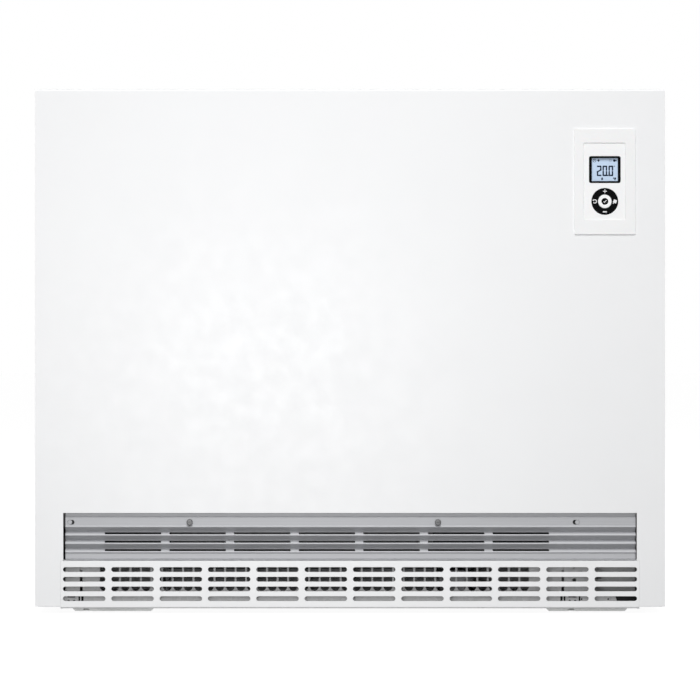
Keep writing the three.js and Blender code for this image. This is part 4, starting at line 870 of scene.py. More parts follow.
class HEATER_OT_casing(bpy.types.Operator):
    """Models the folded front, the sides and the top cover"""

    bl_idname = "heater.casing"
    bl_label = "Casing"

    def execute(self, context):
        casing = settings().casing
        self.front(casing)
        self.side("left", -1, casing)
        self.side("right", 1, casing)
        self.cover(casing)
        return {"FINISHED"}

    def front(self, casing):
        """The front sheet with its stepped opening; it ends a little lower than its solid."""
        low, high = corners("front_panel")
        surround_low, surround_high = corners("control_surround")
        lap, drop, lining = 2 * MM, 0.9 * MM, 10 * MM
        face = low.y
        low.z -= drop
        outlet_side, outlet_top = 355 * MM, corners("outlet_grille")[1].z + 0.4 * MM
        intake_side, step = corners("intake_grille")[1].x + 0.5 * MM, 66 * MM
        holes = [
            (-outlet_side, outlet_side, step, outlet_top),
            (-intake_side, intake_side, low.z, step),
            (surround_low.x + lap, surround_high.x - lap, surround_low.z + lap, surround_high.z - lap),
        ]
        panel = add_upright(low.x, high.x, low.z, high.z, face)
        with editing(panel):
            for x0, x1, z0, z1 in holes:
                for x in (x0, x1):
                    divide((x, face, 0), (1, 0, 0))
                for z in (z0, z1):
                    divide((0, face, z), (0, 0, 1))

            def in_hole(sheet):
                at_x, _, at_z = sheet.calc_center_median()
                return any(x0 < at_x < x1 and z0 < at_z < z1 for x0, x1, z0, z1 in holes)

            pick("FACE", in_hole)
            bpy.ops.mesh.delete(type="FACE")

            def on_rim(edge):
                if not edge.is_boundary or not at(edge, Y, face):
                    return False
                return (at(edge, X, low.x) or at(edge, X, high.x) or at(edge, Z, high.z)
                        or at(edge, Z, low.z))

            extrude(on_rim, (0, high.y - face, 0))

            def on_opening(edge):
                spot = middle(edge)
                return (edge.is_boundary and at(edge, Y, face) and abs(spot.x) < intake_side + MM
                        and spot.z < outlet_top + MM and not at(edge, Z, low.z)
                        and not (runs_along(edge, Z) and spot.z > step))

            extrude(on_opening, (0, lining, 0))

        def top_bend(edge):
            return is_fold(edge) and at(edge, Y, face) and at(edge, Z, high.z)

        soften(panel, top_bend, casing.bend, 6)

        def rim_bend(edge):
            spot = middle(edge)
            beside_intake = runs_along(edge, Z) and abs(spot.x) < intake_side + MM and spot.z < step
            return is_fold(edge, 60) and at(edge, Y, face) and not beside_intake

        soften(panel, rim_bend, casing.rim, 3)
        thicken(panel, casing.sheet)
        fit(panel, "front_sheet", BODY, "powder_coat", "casing", "front_panel")

    def side(self, name, way, casing):
        low, high = corners(f"side_panel_{name}")
        panel = add_box(low, high)
        open_up(panel, lambda sheet: abs(sheet.normal.z) > 0.9 or sheet.normal.x * way < -0.9)
        soften(panel, lambda edge: is_fold(edge) and runs_along(edge, Z), casing.bend, 6)
        thicken(panel, casing.sheet)
        fit(panel, f"side_sheet_{name}", BODY, "powder_coat", "casing", f"side_panel_{name}")

    def cover(self, casing):
        low, high = corners("top_cover")
        cover = add_box(low, high)
        open_up(cover, lambda sheet: sheet.normal.z < -0.9)
        soften(cover, lambda edge: is_fold(edge) and runs_along(edge, X), casing.bend, 6)
        soften(cover, lambda edge: is_fold(edge, 60), casing.rim, 2)
        thicken(cover, casing.sheet)
        fit(cover, "cover_sheet", BODY, "powder_coat", "casing", "top_cover")


# ---- Outlet grille -------------------------------------------------------------------


class HEATER_OT_outlet(bpy.types.Operator):
    """Models the extruded aluminium grille with its louvres and slots"""

    bl_idname = "heater.outlet"
    bl_label = "Outlet grille"

    def execute(self, context):
        outlet = settings().outlet
        low, high = corners("outlet_grille")
        band = low.y + 1.2 * MM
        height = corners("fastener_left")[0].z + 3.9 * MM
        # The louvres' noses from the top down: the drop to the first, and their pitch, in millimetres.
        nose_drop, pitch = 5.7, 10.43
        noses = [height - nose_drop * MM - i * pitch * MM for i in range(4)]
        grille = add_fold(self.profile(low, high, band, noses), low.x, high.x)
        soften(grille, lambda edge: is_fold(edge, 12), outlet.edge, 3)
        thicken(grille, outlet.wall)
        cut(grille, self.slots(outlet, noses, low.y - MM, high.y), *self.holes(low, height, band))
        fit(grille, "louvred_profile", BODY, "anodised_aluminium", "aluminium", "outlet_grille")
        self.studs(low, height, band)
        return {"FINISHED"}

    def profile(self, low, high, band, noses):
        """The section from the back of the lower edge to the upper lip; noses run from the top down."""
        front, top, bottom = low.y, high.z, low.z
        bevel, blunt, foot = 1.5 * MM, 0.4 * MM, 2.2 * MM
        facet_depth, facet_rise = 1.3 * MM, 2.2 * MM
        valley, valley_rise = front + 7.2 * MM, 4 * MM
        step_foot, step_head, lip = top - 5.8 * MM, top - 4 * MM, band + 7.3 * MM
        path = [
            (high.y, bottom), (band + bevel, bottom), (band, bottom + foot),
            (band, noses[-1] - bevel - blunt),
        ]
        for nose in reversed(noses[1:]):
            path += [(front, nose - blunt), (front, nose + blunt),
                     (front + facet_depth, nose + facet_rise), (valley, nose + valley_rise)]
        path += [
            (front, noses[0] - blunt), (front, noses[0] + blunt), (band, noses[0] + bevel),
            (band, step_foot), (band + bevel, step_head), (band + bevel, top), (lip, top),
        ]
        return path

    def hole_places(self, low):
        """The middle of each locating hole, and the way its stud stands off it."""
        right_wall = corners("inner_wall_right")[0].x + 36.2 * MM
        return (low.x + 6.8 * MM, -1), (right_wall - 23 * MM, 1)

    def studs(self, low, height, band):
        """The rounded caps of the locating studs, a little behind the face of the band."""
        radius, offset, end, rounding = 2.75 * MM, 1.4 * MM, band + 0.35 * MM, 0.3 * MM
        studs = []
        for x, way in self.hole_places(low):
            stud = add_disc_bar(x + way * offset, height, radius, end, band + 3 * MM, 40)
            studs.append(soften(stud, level(Y, end), rounding, 3))
        fit(gather(*studs), "locating_studs", BODY, "anodised_aluminium", "aluminium")

    def slots(self, outlet, noses, near_y, far_y):
        """Bars that cut the slots; the top of each leans to the left."""
        left, right = self.stretch()
        gap, height, lean = 10.2 * MM, 2.2 * MM, 0.5 * MM
        length = (right - left + gap) / outlet.slots - gap
        upper = noses[-1] + 3.3 * MM
        bar = add_box((left, near_y, upper - height), (left + length, far_y + MM, upper))
        with editing(bar):
            shift(lambda vert: near(vert.co.z, upper), (-lean, 0, 0))
        repeat(bar, outlet.slots, (length + gap, 0, 0))
        return repeat(bar, len(noses) - 1, (0, 0, noses[0] - noses[1]))

    def stretch(self):
        """Ends of the slotted stretch: the core, and a little more on each side."""
        more = 12.8 * MM
        return corners("brick_1_1")[0].x - more, corners("brick_1_3")[1].x + more

    def holes(self, low, height, band):
        """Bars that cut the oblong locating holes and the round fastener holes."""
        half_width, half_height, fastener_radius = 4.35 * MM, 2.95 * MM, 2.4 * MM
        near_y, far_y = band - 3 * MM, band + 2.6 * MM
        cutters = []
        for x, _ in self.hole_places(low):
            cutters.append(add_slot_bar(x - half_width, x + half_width, height - half_height,
                                        height + half_height, near_y, far_y))
        for name in ("fastener_left", "fastener_right"):
            cutters.append(add_disc_bar(middle_of(name)[0], height, fastener_radius, near_y, far_y, 32))
        return cutters


class HEATER_OT_fasteners(bpy.types.Operator):
    """Models the quarter-turn fasteners that hold the outlet grille"""

    bl_idname = "heater.fasteners"
    bl_label = "Fasteners"

    def execute(self, context):
        head_radius, slot_half, slot_depth = 3.9 * MM, 0.6 * MM, 1.2 * MM
        collar_radius, shank_radius, bar_half = 2.9 * MM, 2 * MM, 1.1 * MM
        for side in ("left", "right"):
            name = f"fastener_{side}"
            low, high = corners(name)
            x, z = middle_of(name)
            seat = low.y + 2.6 * MM
            neck = seat - 0.4 * MM
            head = add_disc_bar(x, z, head_radius, low.y, seat, 56)
            soften(head, level(Y, low.y), 1.5 * MM, 7)
            slot = add_box((x - 5 * MM, low.y - MM, z - slot_half),
                           (x + 5 * MM, low.y + slot_depth, z + slot_half))
            cut(head, slot)
            collar = add_disc_bar(x, z, collar_radius, neck, seat + 1.2 * MM, 32)
            shank = add_disc_bar(x, z, shank_radius, neck, high.y - MM, 32)
            bar = add_box((low.x, high.y - 2 * bar_half, z - bar_half), (high.x, high.y, z + bar_half))
            soften(bar, lambda edge: True, 0.3 * MM, 2)
            weld(head, collar, shank, bar)
            fit(head, f"quarter_turn_{side}", name, "fastener_steel", "dark_steel", name)
        return {"FINISHED"}


# ---- Intake grille and what is seen through it ---------------------------------------


class HEATER_OT_intake(bpy.types.Operator):
    """Models the white grille with its rows of round-ended slots"""

    bl_idname = "heater.intake"
    bl_label = "Intake grille"

    def execute(self, context):
        intake = settings().intake
        low, high = corners("intake_grille")
        land, gap, row_pitch, top_land = 2.65 * MM, 7.3 * MM, 12 * MM, 10.75 * MM
        flank, overhang, lip_bend = 10 * MM, 0.4 * MM, 2.2 * MM
        pitch = (high.x - low.x - 2 * land + gap) / intake.columns
        first = low.x + land
        low.x -= overhang
        high.x += overhang
        grille = add_upright(low.x, high.x, low.z, high.z, low.y)
        with editing(grille):
            extrude(along(X), (0, high.y - low.y, 0))
            extrude(lambda edge: runs_along(edge, Z) and at(edge, Y, low.y), (0, flank, 0))
        soften(grille, lambda edge: is_fold(edge) and at(edge, Z, low.z), lip_bend, 6)
        soften(grille, lambda edge: is_fold(edge, 60) and runs_along(edge, Z), 0.12 * MM, 2)
        thicken(grille, intake.sheet)
        lowest, half = high.z - top_land - (intake.rows - 1) * row_pitch, intake.slot_height / 2
        bar = add_slot_bar(first, first + pitch - gap, lowest - half, lowest + half,
                           low.y - MM, low.y + 3 * MM, 32)
        repeat(bar, intake.columns, (pitch, 0, 0))
        repeat(bar, intake.rows, (0, 0, row_pitch))
        cut(grille, bar)
        soften(grille, rim_at(low.y), intake.rim, 3)
        fit(grille, "slotted_front", "intake", "grille_coat", "casing", "intake_grille")
        return {"FINISHED"}


class HEATER_OT_guard(bpy.types.Operator):
    """Models the fan drawer's front with its upright slots"""

    bl_idname = "heater.guard"
    bl_label = "Fan guard"

    def execute(self, context):
        low, high = corners("fan_drawer")
        sheet, reach, tab = 1.2 * MM, 2.9 * MM, 12.2 * MM
        edges = (low.x + reach, high.x - reach)
        guard = add_fold([(high.y, low.z), (low.y, low.z), (low.y, high.z)], *edges)
        soften(guard, is_fold, 2 * MM, 4)
        thicken(guard, sheet)
        weld(guard, *(add_box((x0, low.y, high.z - tab), (x1, low.y + sheet, high.z))
                      for x0, x1 in ((low.x, edges[0] + sheet), (edges[1] - sheet, high.x))))
        width, rib, slot_foot, slot_head = 10.7 * MM, 2.42 * MM, 26.1 * MM, high.z - 4 * MM
        left, land = edges[0] + 21.7 * MM, 40.8 * MM
        slots = round((edges[1] - land - left + rib) / (width + rib))
        bar = add_slot_bar(left, left + width, slot_foot, slot_head, low.y - MM, low.y + 3 * MM, 24)
        repeat(bar, slots, (width + rib, 0, 0))
        cut(guard, bar)
        soften(guard, rim_at(low.y), 0.2 * MM, 2)
        fit(guard, "slotted_guard", BODY, "galvanised_sheet", "galvanised", "fan_drawer")
        return {"FINISHED"}


class HEATER_OT_strips(bpy.types.Operator):
    """Models black strips behind the tray's upstand, painted shade that makes its slits and notch show dark
    """

    bl_idname = "heater.strips"
    bl_label = "Draught strips"

    def execute(self, context):
        front = corners("base_tray")[0].y + 1.2 * MM
        back = corners("inner_wall_left")[0].y
        foot, head, rounding = 9.5 * MM, 24 * MM, 0.8 * MM
        # Each strip's ends along X, behind the slits and the notch of the upstand.
        ends = ((-353 * MM, -330.5 * MM), (262 * MM, 292 * MM), (318 * MM, 358 * MM))
        strips = []
        for x0, x1 in ends:
            strips.append(soften(add_box((x0, front, foot), (x1, back, head)), along(X), rounding, 3))
        # Black rubber here is painted shade behind the slits and the notch.
        fit(gather(*strips), "draught_strips", BODY, "black_rubber", "rubber")
        return {"FINISHED"}


# ---- Control unit --------------------------------------------------------------------


class HEATER_OT_control(bpy.types.Operator):
    """Models the control unit's surround, its recessed face and the display's frame"""

    bl_idname = "heater.control"
    bl_label = "Control unit"

    def execute(self, context):
        control = settings().control
        self.surround(control)
        self.face()
        self.bezel()
        return {"FINISHED"}

    def surround(self, control):
        low, high = corners("control_surround")
        face_low, face_high = corners("control_fascia")
        lap, gap, inset, corner = 2.4 * MM, 0.3 * MM, 2.3 * MM, 1.2 * MM
        plate = add_box(low, (high.x, low.y + 1.2 * MM, high.z))
        soften(plate, along(Y), corner, 5)
        soften(plate, rim_at(low.y, 30), control.edge, 2)
        window = add_box((face_low.x + lap, low.y - MM, face_low.z + lap),
                         (face_high.x - lap, low.y + 3 * MM, face_high.z - lap))
        soften(window, along(Y), 0.8 * MM, 4)
        cut(plate, window)
        soften(plate, rim_at(low.y), 0.25 * MM, 3)
        walls = add_box((low.x + inset, low.y + 0.8 * MM, low.z + inset),
                        (high.x - inset, high.y, high.z - inset))
        open_up(walls, lambda sheet: abs(sheet.normal.y) > 0.9)
        soften(walls, lambda edge: runs_along(edge, Y) and is_fold(edge), corner, 4)
        thicken(walls, 1.6 * MM)
        _, z = middle_of("ok_key")
        front, back, half = low.y + 0.6 * MM, corners("keypad_board")[1].y + gap, 4 * MM
        ledges = [
            add_box((x0, front, z - half), (x1, back, z + half))
            for x0, x1 in ((low.x + 3 * MM, face_low.x - gap), (face_high.x + gap, high.x - 3 * MM))
        ]
        plate = gather(plate, walls, *ledges)
        fit(plate, "control_frame", BODY, "white_moulding", "white_plastic", "control_surround")

    def face(self):
        """A flange behind the surround, and a pad that fills its window but for the left and top."""
        low, high = corners("control_fascia")
        lap, gap, wide_gap, top_gap, close = 2.4 * MM, 0.3 * MM, 0.8 * MM, 0.6 * MM, 0.08 * MM
        flange = add_box((low.x, high.y - 1.5 * MM, low.z), high)
        pad = add_box((low.x + lap + wide_gap, low.y, low.z + lap + close),
                      (high.x - lap - close, high.y - 0.75 * MM, high.z - lap - top_gap))
        soften(pad, along(Y), 0.6 * MM, 4)
        soften(pad, rim_at(low.y, 30), 0.2 * MM, 2)
        weld(flange, pad)
        bezel_low, bezel_high = corners("lcd_bezel")
        opening = add_box((bezel_low.x - gap, low.y - MM, bezel_low.z - gap),
                          (bezel_high.x + gap, high.y + MM, bezel_high.z + gap))
        soften(opening, along(Y), 2.5 * MM, 8)
        ring = add_disc_bar(*middle_of("ok_key"), 16.6 * MM, low.y - MM, high.y + MM, 96)
        cut(flange, opening, ring)
        soften(flange, rim_at(low.y), 0.15 * MM, 2)
        fit(flange, "control_face", BODY, "face_moulding", "white_plastic", "control_fascia")

    def bezel(self):
        low, high = corners("lcd_bezel")
        side, end = 3.05 * MM, 2.15 * MM
        bezel = add_box(low, high)
        soften(bezel, along(Y), 2.5 * MM, 8)
        soften(bezel, rim_at(low.y), 0.35 * MM, 3)
        hole = add_box((low.x + side, low.y - MM, low.z + end), (high.x - side, high.y + MM, high.z - end))
        soften(hole, along(Y), 0.5 * MM, 3)
        cut(bezel, hole)
        soften(bezel, rim_at(low.y), 0.2 * MM, 2)
        fit(bezel, "display_frame", BODY, "gloss_black", "black_plastic", "lcd_bezel")


# The bars of each digit: A to F run clockwise from the top, and G is the middle one.
SEGMENTS = {
    "0": "ABCDEF", "1": "BC", "2": "ABGED", "3": "ABGCD", "4": "FGBC", "5": "AFGCD",
    "6": "AFGECD", "7": "ABC", "8": "ABCDEFG", "9": "ABCDFG",
}


class HEATER_OT_display(bpy.types.Operator):
    """Models the display, its digits and its signs"""

    bl_idname = "heater.display"
    bl_label = "Display"

    def execute(self, context):
        low, high = corners("lcd_module")
        glass = add_box(low, high)
        soften(glass, lambda edge: True, 0.3 * MM, 2)
        fit(glass, "display_glass", BODY, "display_glass", "display", "lcd_module")
        self.x, self.z = middle_of("lcd_bezel")
        self.face = low.y
        self.front, self.back = self.face - 0.04 * MM, self.face + 0.02 * MM
        marks = self.digits(settings().control.reading) + self.signs()
        for mark in marks:
            soften(mark, rim_at(self.front), 0.012 * MM, 1)
        fit(gather(*marks), "display_marks", BODY, "display_ink", "black_plastic")
        return {"FINISHED"}

    def bar(self, x0, x1, z0, z1, chamfer=0.0):
        """A flat mark; x and z count from the middle of the display, in millimetres."""
        mark = add_box((self.x + x0 * MM, self.front, self.z + z0 * MM),
                       (self.x + x1 * MM, self.back, self.z + z1 * MM))
        if chamfer:
            soften(mark, along(Y), chamfer * MM, 1)
        return mark

    def dot(self, x, z, radius, hole=0.0, sides=24):
        """A round mark, or a ring where it has a hole."""
        place = self.x + x * MM, self.z + z * MM
        mark = add_disc_bar(*place, radius * MM, self.front, self.back, sides)
        if hole:
            cut(mark, add_disc_bar(*place, hole * MM, self.face - MM, self.face + MM, sides))
        return mark

    def digits(self, reading):
        """The digits, in millimetres from the middle of the display; a 2 has a leaning middle bar."""
        wide, tall, stroke, space, gap, trim = 5.85, 13.0, 1.8, 1.2, 0.14, 0.3
        x, bottom = -9.7, -7.9
        marks = []
        for sign in reading:
            if sign == ".":
                marks.append(self.bar(x - space - 0.1, x - space + 1.5, bottom, bottom + 1.6))
                x += 0.4
                continue
            half = bottom + tall / 2
            top = bottom + tall
            bars = {
                "A": (x + gap, x + wide - gap, top - stroke, top),
                "D": (x + gap, x + wide - gap, bottom, bottom + stroke),
                "G": (x + gap + 0.5, x + wide - gap - 0.5, half - stroke / 2, half + stroke / 2),
                "B": (x + wide - stroke, x + wide, half + gap, top - gap - trim),
                "C": (x + wide - stroke, x + wide, bottom + gap + trim, half - gap),
                "E": (x, x + stroke, bottom + gap + trim, half - gap),
                "F": (x, x + stroke, half + gap, top - gap - trim),
            }
            for letter in SEGMENTS[sign]:
                mark = self.bar(*bars[letter], chamfer=0.5)
                if sign == "2" and letter == "G":
                    self.lean(mark, 1.1)
                marks.append(mark)
            x += wide + space
        return marks

    def lean(self, mark, rise):
        """Lifts the right end of a mark and lowers its left end, in millimetres."""
        with editing(mark):
            centre = sum(vert.co.x for vert in mark.data.vertices) / len(mark.data.vertices)
            for way in (-1, 1):
                shift(lambda vert: (vert.co.x - centre) * way > 0, (0, 0, way * rise * MM))

    def signs(self):
        """Small generic signs round the digits."""
        degree = [self.dot(12.0, 4.2, 0.8, 0.35)]
        clock = [self.dot(-12.6, 11.3, 2.1, 1.6), self.bar(-12.8, -12.4, 11.3, 12.6),
                 self.bar(-12.6, -11.5, 11.1, 11.5)]
        sun = [self.dot(-7.6, 11.4, 1.15), self.bar(-9.6, -8.8, 11.1, 11.7),
               self.bar(-6.4, -5.6, 11.1, 11.7), self.bar(-7.9, -7.3, 12.6, 13.2),
               self.bar(-7.9, -7.3, 9.6, 10.2)]
        window = [self.bar(5.6, 8.4, 12.4, 12.65), self.bar(5.6, 8.4, 10.4, 10.65),
                  self.bar(5.6, 5.85, 10.4, 12.65), self.bar(8.15, 8.4, 10.4, 12.65)]
        bolt = [self.dot(12.0, 11.3, 1.7, sides=6), self.bar(13.3, 14.8, 10.7, 12.0)]
        bulb = [self.dot(-3.1, -11.6, 1.2), self.bar(-3.6, -2.6, -11.4, -9.3, 0.3)]
        pair = [self.dot(11.2, -10.6, 1.0, 0.35), self.dot(13.1, -10.7, 1.15),
                self.bar(11.9, 12.7, -13.0, -11.7), self.bar(13.0, 13.7, -13.0, -11.7)]
        return degree + clock + sun + window + bolt + bulb + pair


class HEATER_OT_keys(bpy.types.Operator):
    """Models the ring of four keys, the round key in its middle, and their signs"""

    bl_idname = "heater.keys"
    bl_label = "Keys"

    def execute(self, context):
        low, high = corners("ok_key")
        self.x, self.z = middle_of("ok_key")
        self.front, self.back = low.y, high.y
        for name, turn in (("menu_key", 0), ("plus_key", 90), ("back_key", 180), ("minus_key", 270)):
            self.quarter(name, turn)
        self.middle_key()
        self.signs()
        return {"FINISHED"}

    def quarter(self, name, turn):
        """A quarter of the ring with a foot round its outside, spun from its section."""
        inner, outer, foot, gap = 9.2 * MM, 16.2 * MM, 1.3 * MM, 0.25 * MM
        half = math.pi / 4 - gap / outer
        start = math.radians(turn) - half
        depth = self.back - self.front
        radius = (inner + outer) / 2
        clear_selection()
        bpy.ops.mesh.primitive_plane_add(
            size=1, rotation=(0, -start, 0), location=(
                self.x + radius * math.cos(start), (self.front + self.back) / 2,
                self.z + radius * math.sin(start)))
        bpy.context.object.scale = (outer - inner, depth, 1)
        key = settled()
        foot_front = self.back - MM

        def reach(vert):
            return math.hypot(vert.co.x - self.x, vert.co.z - self.z)

        with editing(key):
            divide((0, foot_front, 0), (0, 1, 0))
            extrude(lambda edge: all(near(reach(v), outer, 1e-4) for v in edge.verts)
                    and middle(edge).y > foot_front, (foot * math.cos(start), 0, foot * math.sin(start)))
            bpy.ops.mesh.select_mode(type="FACE")
            bpy.ops.mesh.select_all(action="SELECT")
            bpy.ops.mesh.spin(steps=20, angle=2 * half, center=(self.x, 0, self.z), axis=(0, 1, 0))
            bpy.ops.mesh.select_all(action="SELECT")
            bpy.ops.mesh.remove_doubles(threshold=1e-6)
            bpy.ops.mesh.normals_make_consistent(inside=False)
        soften(key, rim_at(self.front), 0.3 * MM, 3)
        fit(key, f"ring_{name}", name, "key_black", "black_plastic", name)

    def middle_key(self):
        radius, dot_radius, dot_front = 8.4 * MM, 4.2 * MM, self.front - 0.03 * MM
        key = add_disc_bar(self.x, self.z, radius, self.front, self.back, 96)
        soften(key, level(Y, self.front), 0.5 * MM, 4)
        fit(key, "round_key", "ok_key", "key_white", "white_plastic", "ok_key")
        dot = add_disc_bar(self.x, self.z, dot_radius, dot_front, self.front + 0.05 * MM, 64)
        soften(dot, level(Y, dot_front), 0.015 * MM, 1)
        fit(dot, "round_key_dot", "ok_key", "key_black", "black_plastic")

    def mark(self, x0, x1, z0, z1, turn=0.0, lift=0.03):
        """A flat printed mark; x and z count from the middle of the keys, in millimetres."""
        mark = add_box((self.x + x0 * MM, self.front - lift * MM, self.z + z0 * MM),
                       (self.x + x1 * MM, self.front + 0.05 * MM, self.z + z1 * MM))
        if turn:
            with editing(mark):
                bpy.ops.mesh.select_all(action="SELECT")
                centre = (self.x + (x0 + x1) / 2 * MM, self.front, self.z + (z0 + z1) / 2 * MM)
                bpy.ops.transform.rotate(value=math.radians(turn), orient_axis="Y", center_override=centre)
        return mark

    def signs(self):
        def printed(name, body, *marks):
            whole = gather(*marks)
            face = min(vert.co.y for vert in whole.data.vertices)
            soften(whole, rim_at(face), 0.012 * MM, 1)
            fit(whole, name, body, "white_print", "white_plastic")

        up, down, side = 12.5, -12.9, 12.5
        printed("plus_sign", "plus_key", weld(self.mark(-2.5, 2.5, up - 0.42, up + 0.42),
                                              self.mark(-0.42, 0.42, up - 2.4, up + 2.4)))
        printed("minus_sign", "minus_key", self.mark(-2.5, 2.5, down - 0.7, down + 0.7))
        printed("tick_sign", "ok_key", self.mark(-0.9, 2.6, -0.1, 0.75, 48, 0.045),
                self.mark(-1.9, 0.2, -1.25, -0.45, -45, 0.045))
        printed("sheet_sign", "menu_key", self.mark(side - 2.1, side + 2.1, -2.0, 2.0, -22),
                self.mark(side - 2.6, side - 1.6, -2.9, -1.6, -22))
        printed("return_sign", "back_key", *self.return_arrow(-side))

    def return_arrow(self, x):
        """Three quarters of a circle with a head at its upper left end."""
        radius, stroke, depth, sweep = 2.1 * MM, 1.0 * MM, 0.08 * MM, math.radians(275)
        start, level_y = math.radians(-140), self.front + 0.01 * MM
        centre = (self.x + x * MM, self.front, self.z)
        clear_selection()
        bpy.ops.mesh.primitive_plane_add(size=1, rotation=(0, -start, 0), location=(
            centre[0] + radius * math.cos(start), level_y, centre[2] + radius * math.sin(start)))
        bpy.context.object.scale = (stroke, depth, 1)
        arc = settled()
        with editing(arc):
            bpy.ops.mesh.select_all(action="SELECT")
            bpy.ops.mesh.spin(steps=24, angle=sweep, center=centre, axis=(0, 1, 0))
            bpy.ops.mesh.select_all(action="SELECT")
            bpy.ops.mesh.normals_make_consistent(inside=False)
        clear_selection()
        bpy.ops.mesh.primitive_cylinder_add(
            vertices=3, radius=1.5 * MM, depth=depth, rotation=(math.pi / 2, math.radians(20), 0),
            location=(centre[0] - 1.7 * MM, level_y, centre[2] + 1.5 * MM))
        return arc, settled()


# ---- Back and inner pieces -----------------------------------------------------------


class HEATER_OT_back(bpy.types.Operator):
    """Models the beaded rear panel with its screws, the wall bracket and the grommet"""

    bl_idname = "heater.back"
    bl_label = "Back"

    def execute(self, context):
        self.rear_panel()
        self.bracket()
        self.grommet()
        return {"FINISHED"}

    def rear_panel(self):
        """A sheet with two beads across it, and the hole for the grommet."""
        low, high = corners("rear_panel")
        bead, tall, hole_radius = 3 * MM, 26 * MM, 8.3 * MM
        back = high.y - bead
        path = [(back, high.z)]
        for share in (0.6, 0.3):
            foot = low.z + share * (high.z - low.z)
            path += [(back, foot + tall + bead), (high.y, foot + tall), (high.y, foot + bead), (back, foot)]
        path.append((back, low.z))
        panel = add_fold(path, low.x, high.x)
        soften(panel, lambda edge: is_fold(edge, 20), 1.6 * MM, 4)
        thicken(panel, 1.2 * MM)
        x, z = middle_of("cable_grommet")
        cut(panel, add_disc_bar(x, z, hole_radius, back - 5 * MM, back + 5 * MM, 48))
        fit(panel, "beaded_back", BODY, "galvanised_sheet", "galvanised", "rear_panel")
        self.screws(low, high, back)

    def screws(self, low, high, back):
        """Round heads with a cross, down both sides and along the top; places are shares of the panel."""
        radius, tall, arm, half = 3.8 * MM, 2 * MM, 2.2 * MM, 0.4 * MM
        places = [(side * 0.97 * high.x, low.z + share * (high.z - low.z))
                  for side in (-1, 1) for share in (0.04, 0.25, 0.5, 0.75, 0.97)]
        places += [(share * high.x, high.z - 9 * MM) for share in (-0.6, -0.2, 0.2, 0.6)]
        near_y, far_y = back + MM, back + 3 * MM
        heads = []
        for x, z in places:
            head = add_disc_bar(x, z, radius, back, back + tall, 24)
            soften(head, level(Y, back + tall), 0.9 * MM, 3)
            cross = weld(*(add_box((x - across, near_y, z - upright), (x + across, far_y, z + upright))
                           for across, upright in ((arm, half), (half, arm))))
            heads.append(cut(head, cross))
        fit(gather(*heads), "back_screws", BODY, "fastener_steel", "dark_steel")

    def bracket(self):
        """A folded strip with two keyholes."""
        low, high = corners("wall_bracket")
        sheet, ledge = 1.5 * MM, high.z - 40 * MM
        front, near_y, far_y = low.y + sheet, high.y - 5 * MM, high.y + 5 * MM
        path = [(high.y, high.z), (high.y, ledge), (front, ledge), (front, low.z)]
        strip = add_fold(path, low.x, high.x)
        soften(strip, is_fold, 1.2 * MM, 4)
        thicken(strip, sheet)
        hole_radius, neck_half, neck_tall, z = 5 * MM, 2.6 * MM, 12.4 * MM, high.z - 22 * MM
        for x in (-110 * MM, 110 * MM):
            cut(strip, add_disc_bar(x, z, hole_radius, near_y, far_y, 40),
                add_slot_bar(x - neck_half, x + neck_half, z, z + neck_tall, near_y, far_y))
        # The bracket takes the feet's paler sheet, which carries painted light.
        fit(strip, "folded_bracket", BODY, "foot_sheet", "galvanised", "wall_bracket")

    def grommet(self):
        low, high = corners("cable_grommet")
        x, z = middle_of("cable_grommet")
        flange_radius, neck_radius, bore_radius, flange = 12 * MM, 8 * MM, 5.5 * MM, 2.4 * MM
        inner = add_disc_bar(x, z, flange_radius, low.y, low.y + flange, 48)
        neck = add_disc_bar(x, z, neck_radius, low.y + MM, high.y - MM, 48)
        outer = add_disc_bar(x, z, flange_radius, high.y - flange, high.y, 48)
        for disc in (inner, outer):
            soften(disc, lambda edge: not runs_along(edge, Y), 0.9 * MM, 3)
        weld(inner, neck, outer)
        cut(inner, add_disc_bar(x, z, bore_radius, low.y - MM, high.y + MM, 48))
        fit(inner, "rubber_grommet", BODY, "black_rubber", "rubber", "cable_grommet")


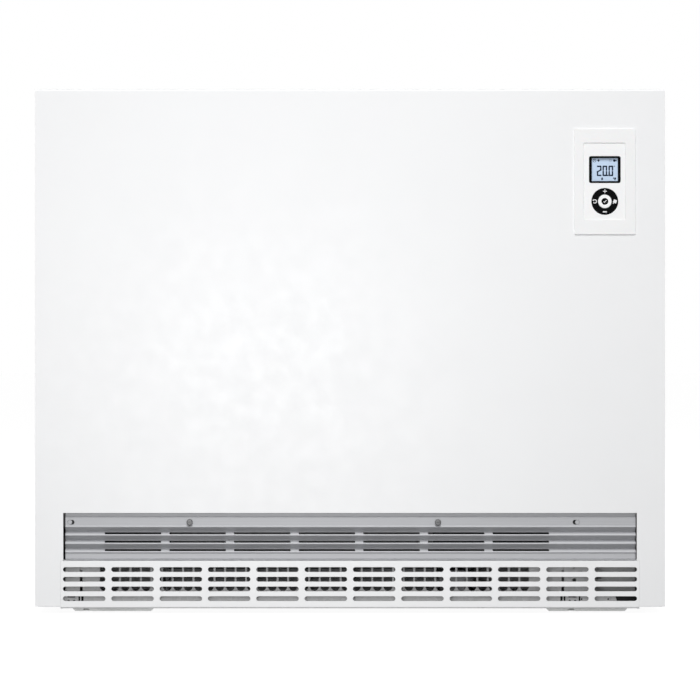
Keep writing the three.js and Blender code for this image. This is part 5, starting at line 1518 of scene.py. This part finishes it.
INNER_FINISHES = {
    "galvanised_sheet": ("inner_wall_left", "inner_wall_right", "inner_top_plate", "core_cover",
                         "charge_sensor"),
    # The sheets behind the outlet are made near black as painted shade.
    "duct_sheet": ("inner_front_plate", "core_shelf", "duct_partition", "mixing_flap"),
    "tray_sheet": ("base_tray",),
    # The feet's paler sheet carries painted light.
    "foot_sheet": ("foot_left", "foot_right"),
    "motor_stack": ("fan_motor",),
    "fan_sheet": ("fan_housing", "fan_rotor"),
    "lacquered_board": ("keypad_board", "control_board"),
    "terminal_moulding": ("terminal_block",),
    "key_black": ("safety_limiter",),
    "mineral_board": ("base_insulation", "front_insulation", "rear_insulation", "left_insulation",
                      "right_insulation", "top_insulation"),
    "magnesite": tuple(f"brick_{layer}_{column}" for layer in (1, 2, 3) for column in (1, 2, 3)),
    "scaled_steel": ("heating_element_1", "heating_element_2", "heating_element_3"),
    "black_rubber": ("fan_bearing",),
    "bimetal_strip": ("flap_bimetal",),
}


class HEATER_OT_inner(bpy.types.Operator):
    """Gives the solids that stay their finishes"""

    bl_idname = "heater.inner"
    bl_label = "Inner pieces"

    def execute(self, context):
        for finish, names in INNER_FINISHES.items():
            material = finish_named(finish)
            for name in names:
                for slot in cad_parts[name].material_slots:
                    slot.link = "OBJECT"
                    slot.material = material
        return {"FINISHED"}


# ---- Panel and start -----------------------------------------------------------------


class HEATER_PT_panel(bpy.types.Panel):
    """Lists the pieces of the heater and their settings"""

    bl_label = "Heater"
    bl_idname = "HEATER_PT_panel"
    bl_space_type = "VIEW_3D"
    bl_region_type = "UI"
    bl_category = "Heater"

    def draw(self, context):
        for group in ("casing", "outlet", "intake", "control", "inner", "studio"):
            box = self.layout.box()
            box.label(text=group.capitalize())
            values = getattr(context.scene.heater, group)
            for name in type(values).__annotations__:
                box.prop(values, name)
        for operator in OPERATORS:
            self.layout.operator(operator.bl_idname)


OPERATORS = (
    HEATER_OT_stage,
    HEATER_OT_casing,
    HEATER_OT_outlet,
    HEATER_OT_fasteners,
    HEATER_OT_intake,
    HEATER_OT_guard,
    HEATER_OT_strips,
    HEATER_OT_control,
    HEATER_OT_display,
    HEATER_OT_keys,
    HEATER_OT_back,
    HEATER_OT_inner,
)
CLASSES = (
    HeaterCasing, HeaterOutlet, HeaterIntake, HeaterControl, HeaterInner, HeaterStudio, HeaterSettings,
    *OPERATORS, HEATER_PT_panel,
)


def register():
    for item in CLASSES:
        bpy.utils.register_class(item)
    bpy.types.Scene.heater = PointerProperty(type=HeaterSettings)


def unregister():
    del bpy.types.Scene.heater
    for item in reversed(CLASSES):
        bpy.utils.unregister_class(item)


def main():
    register()
    for operator in OPERATORS:
        getattr(bpy.ops.heater, operator.bl_idname.split(".")[1])()


if __name__ == "__main__":
    main()
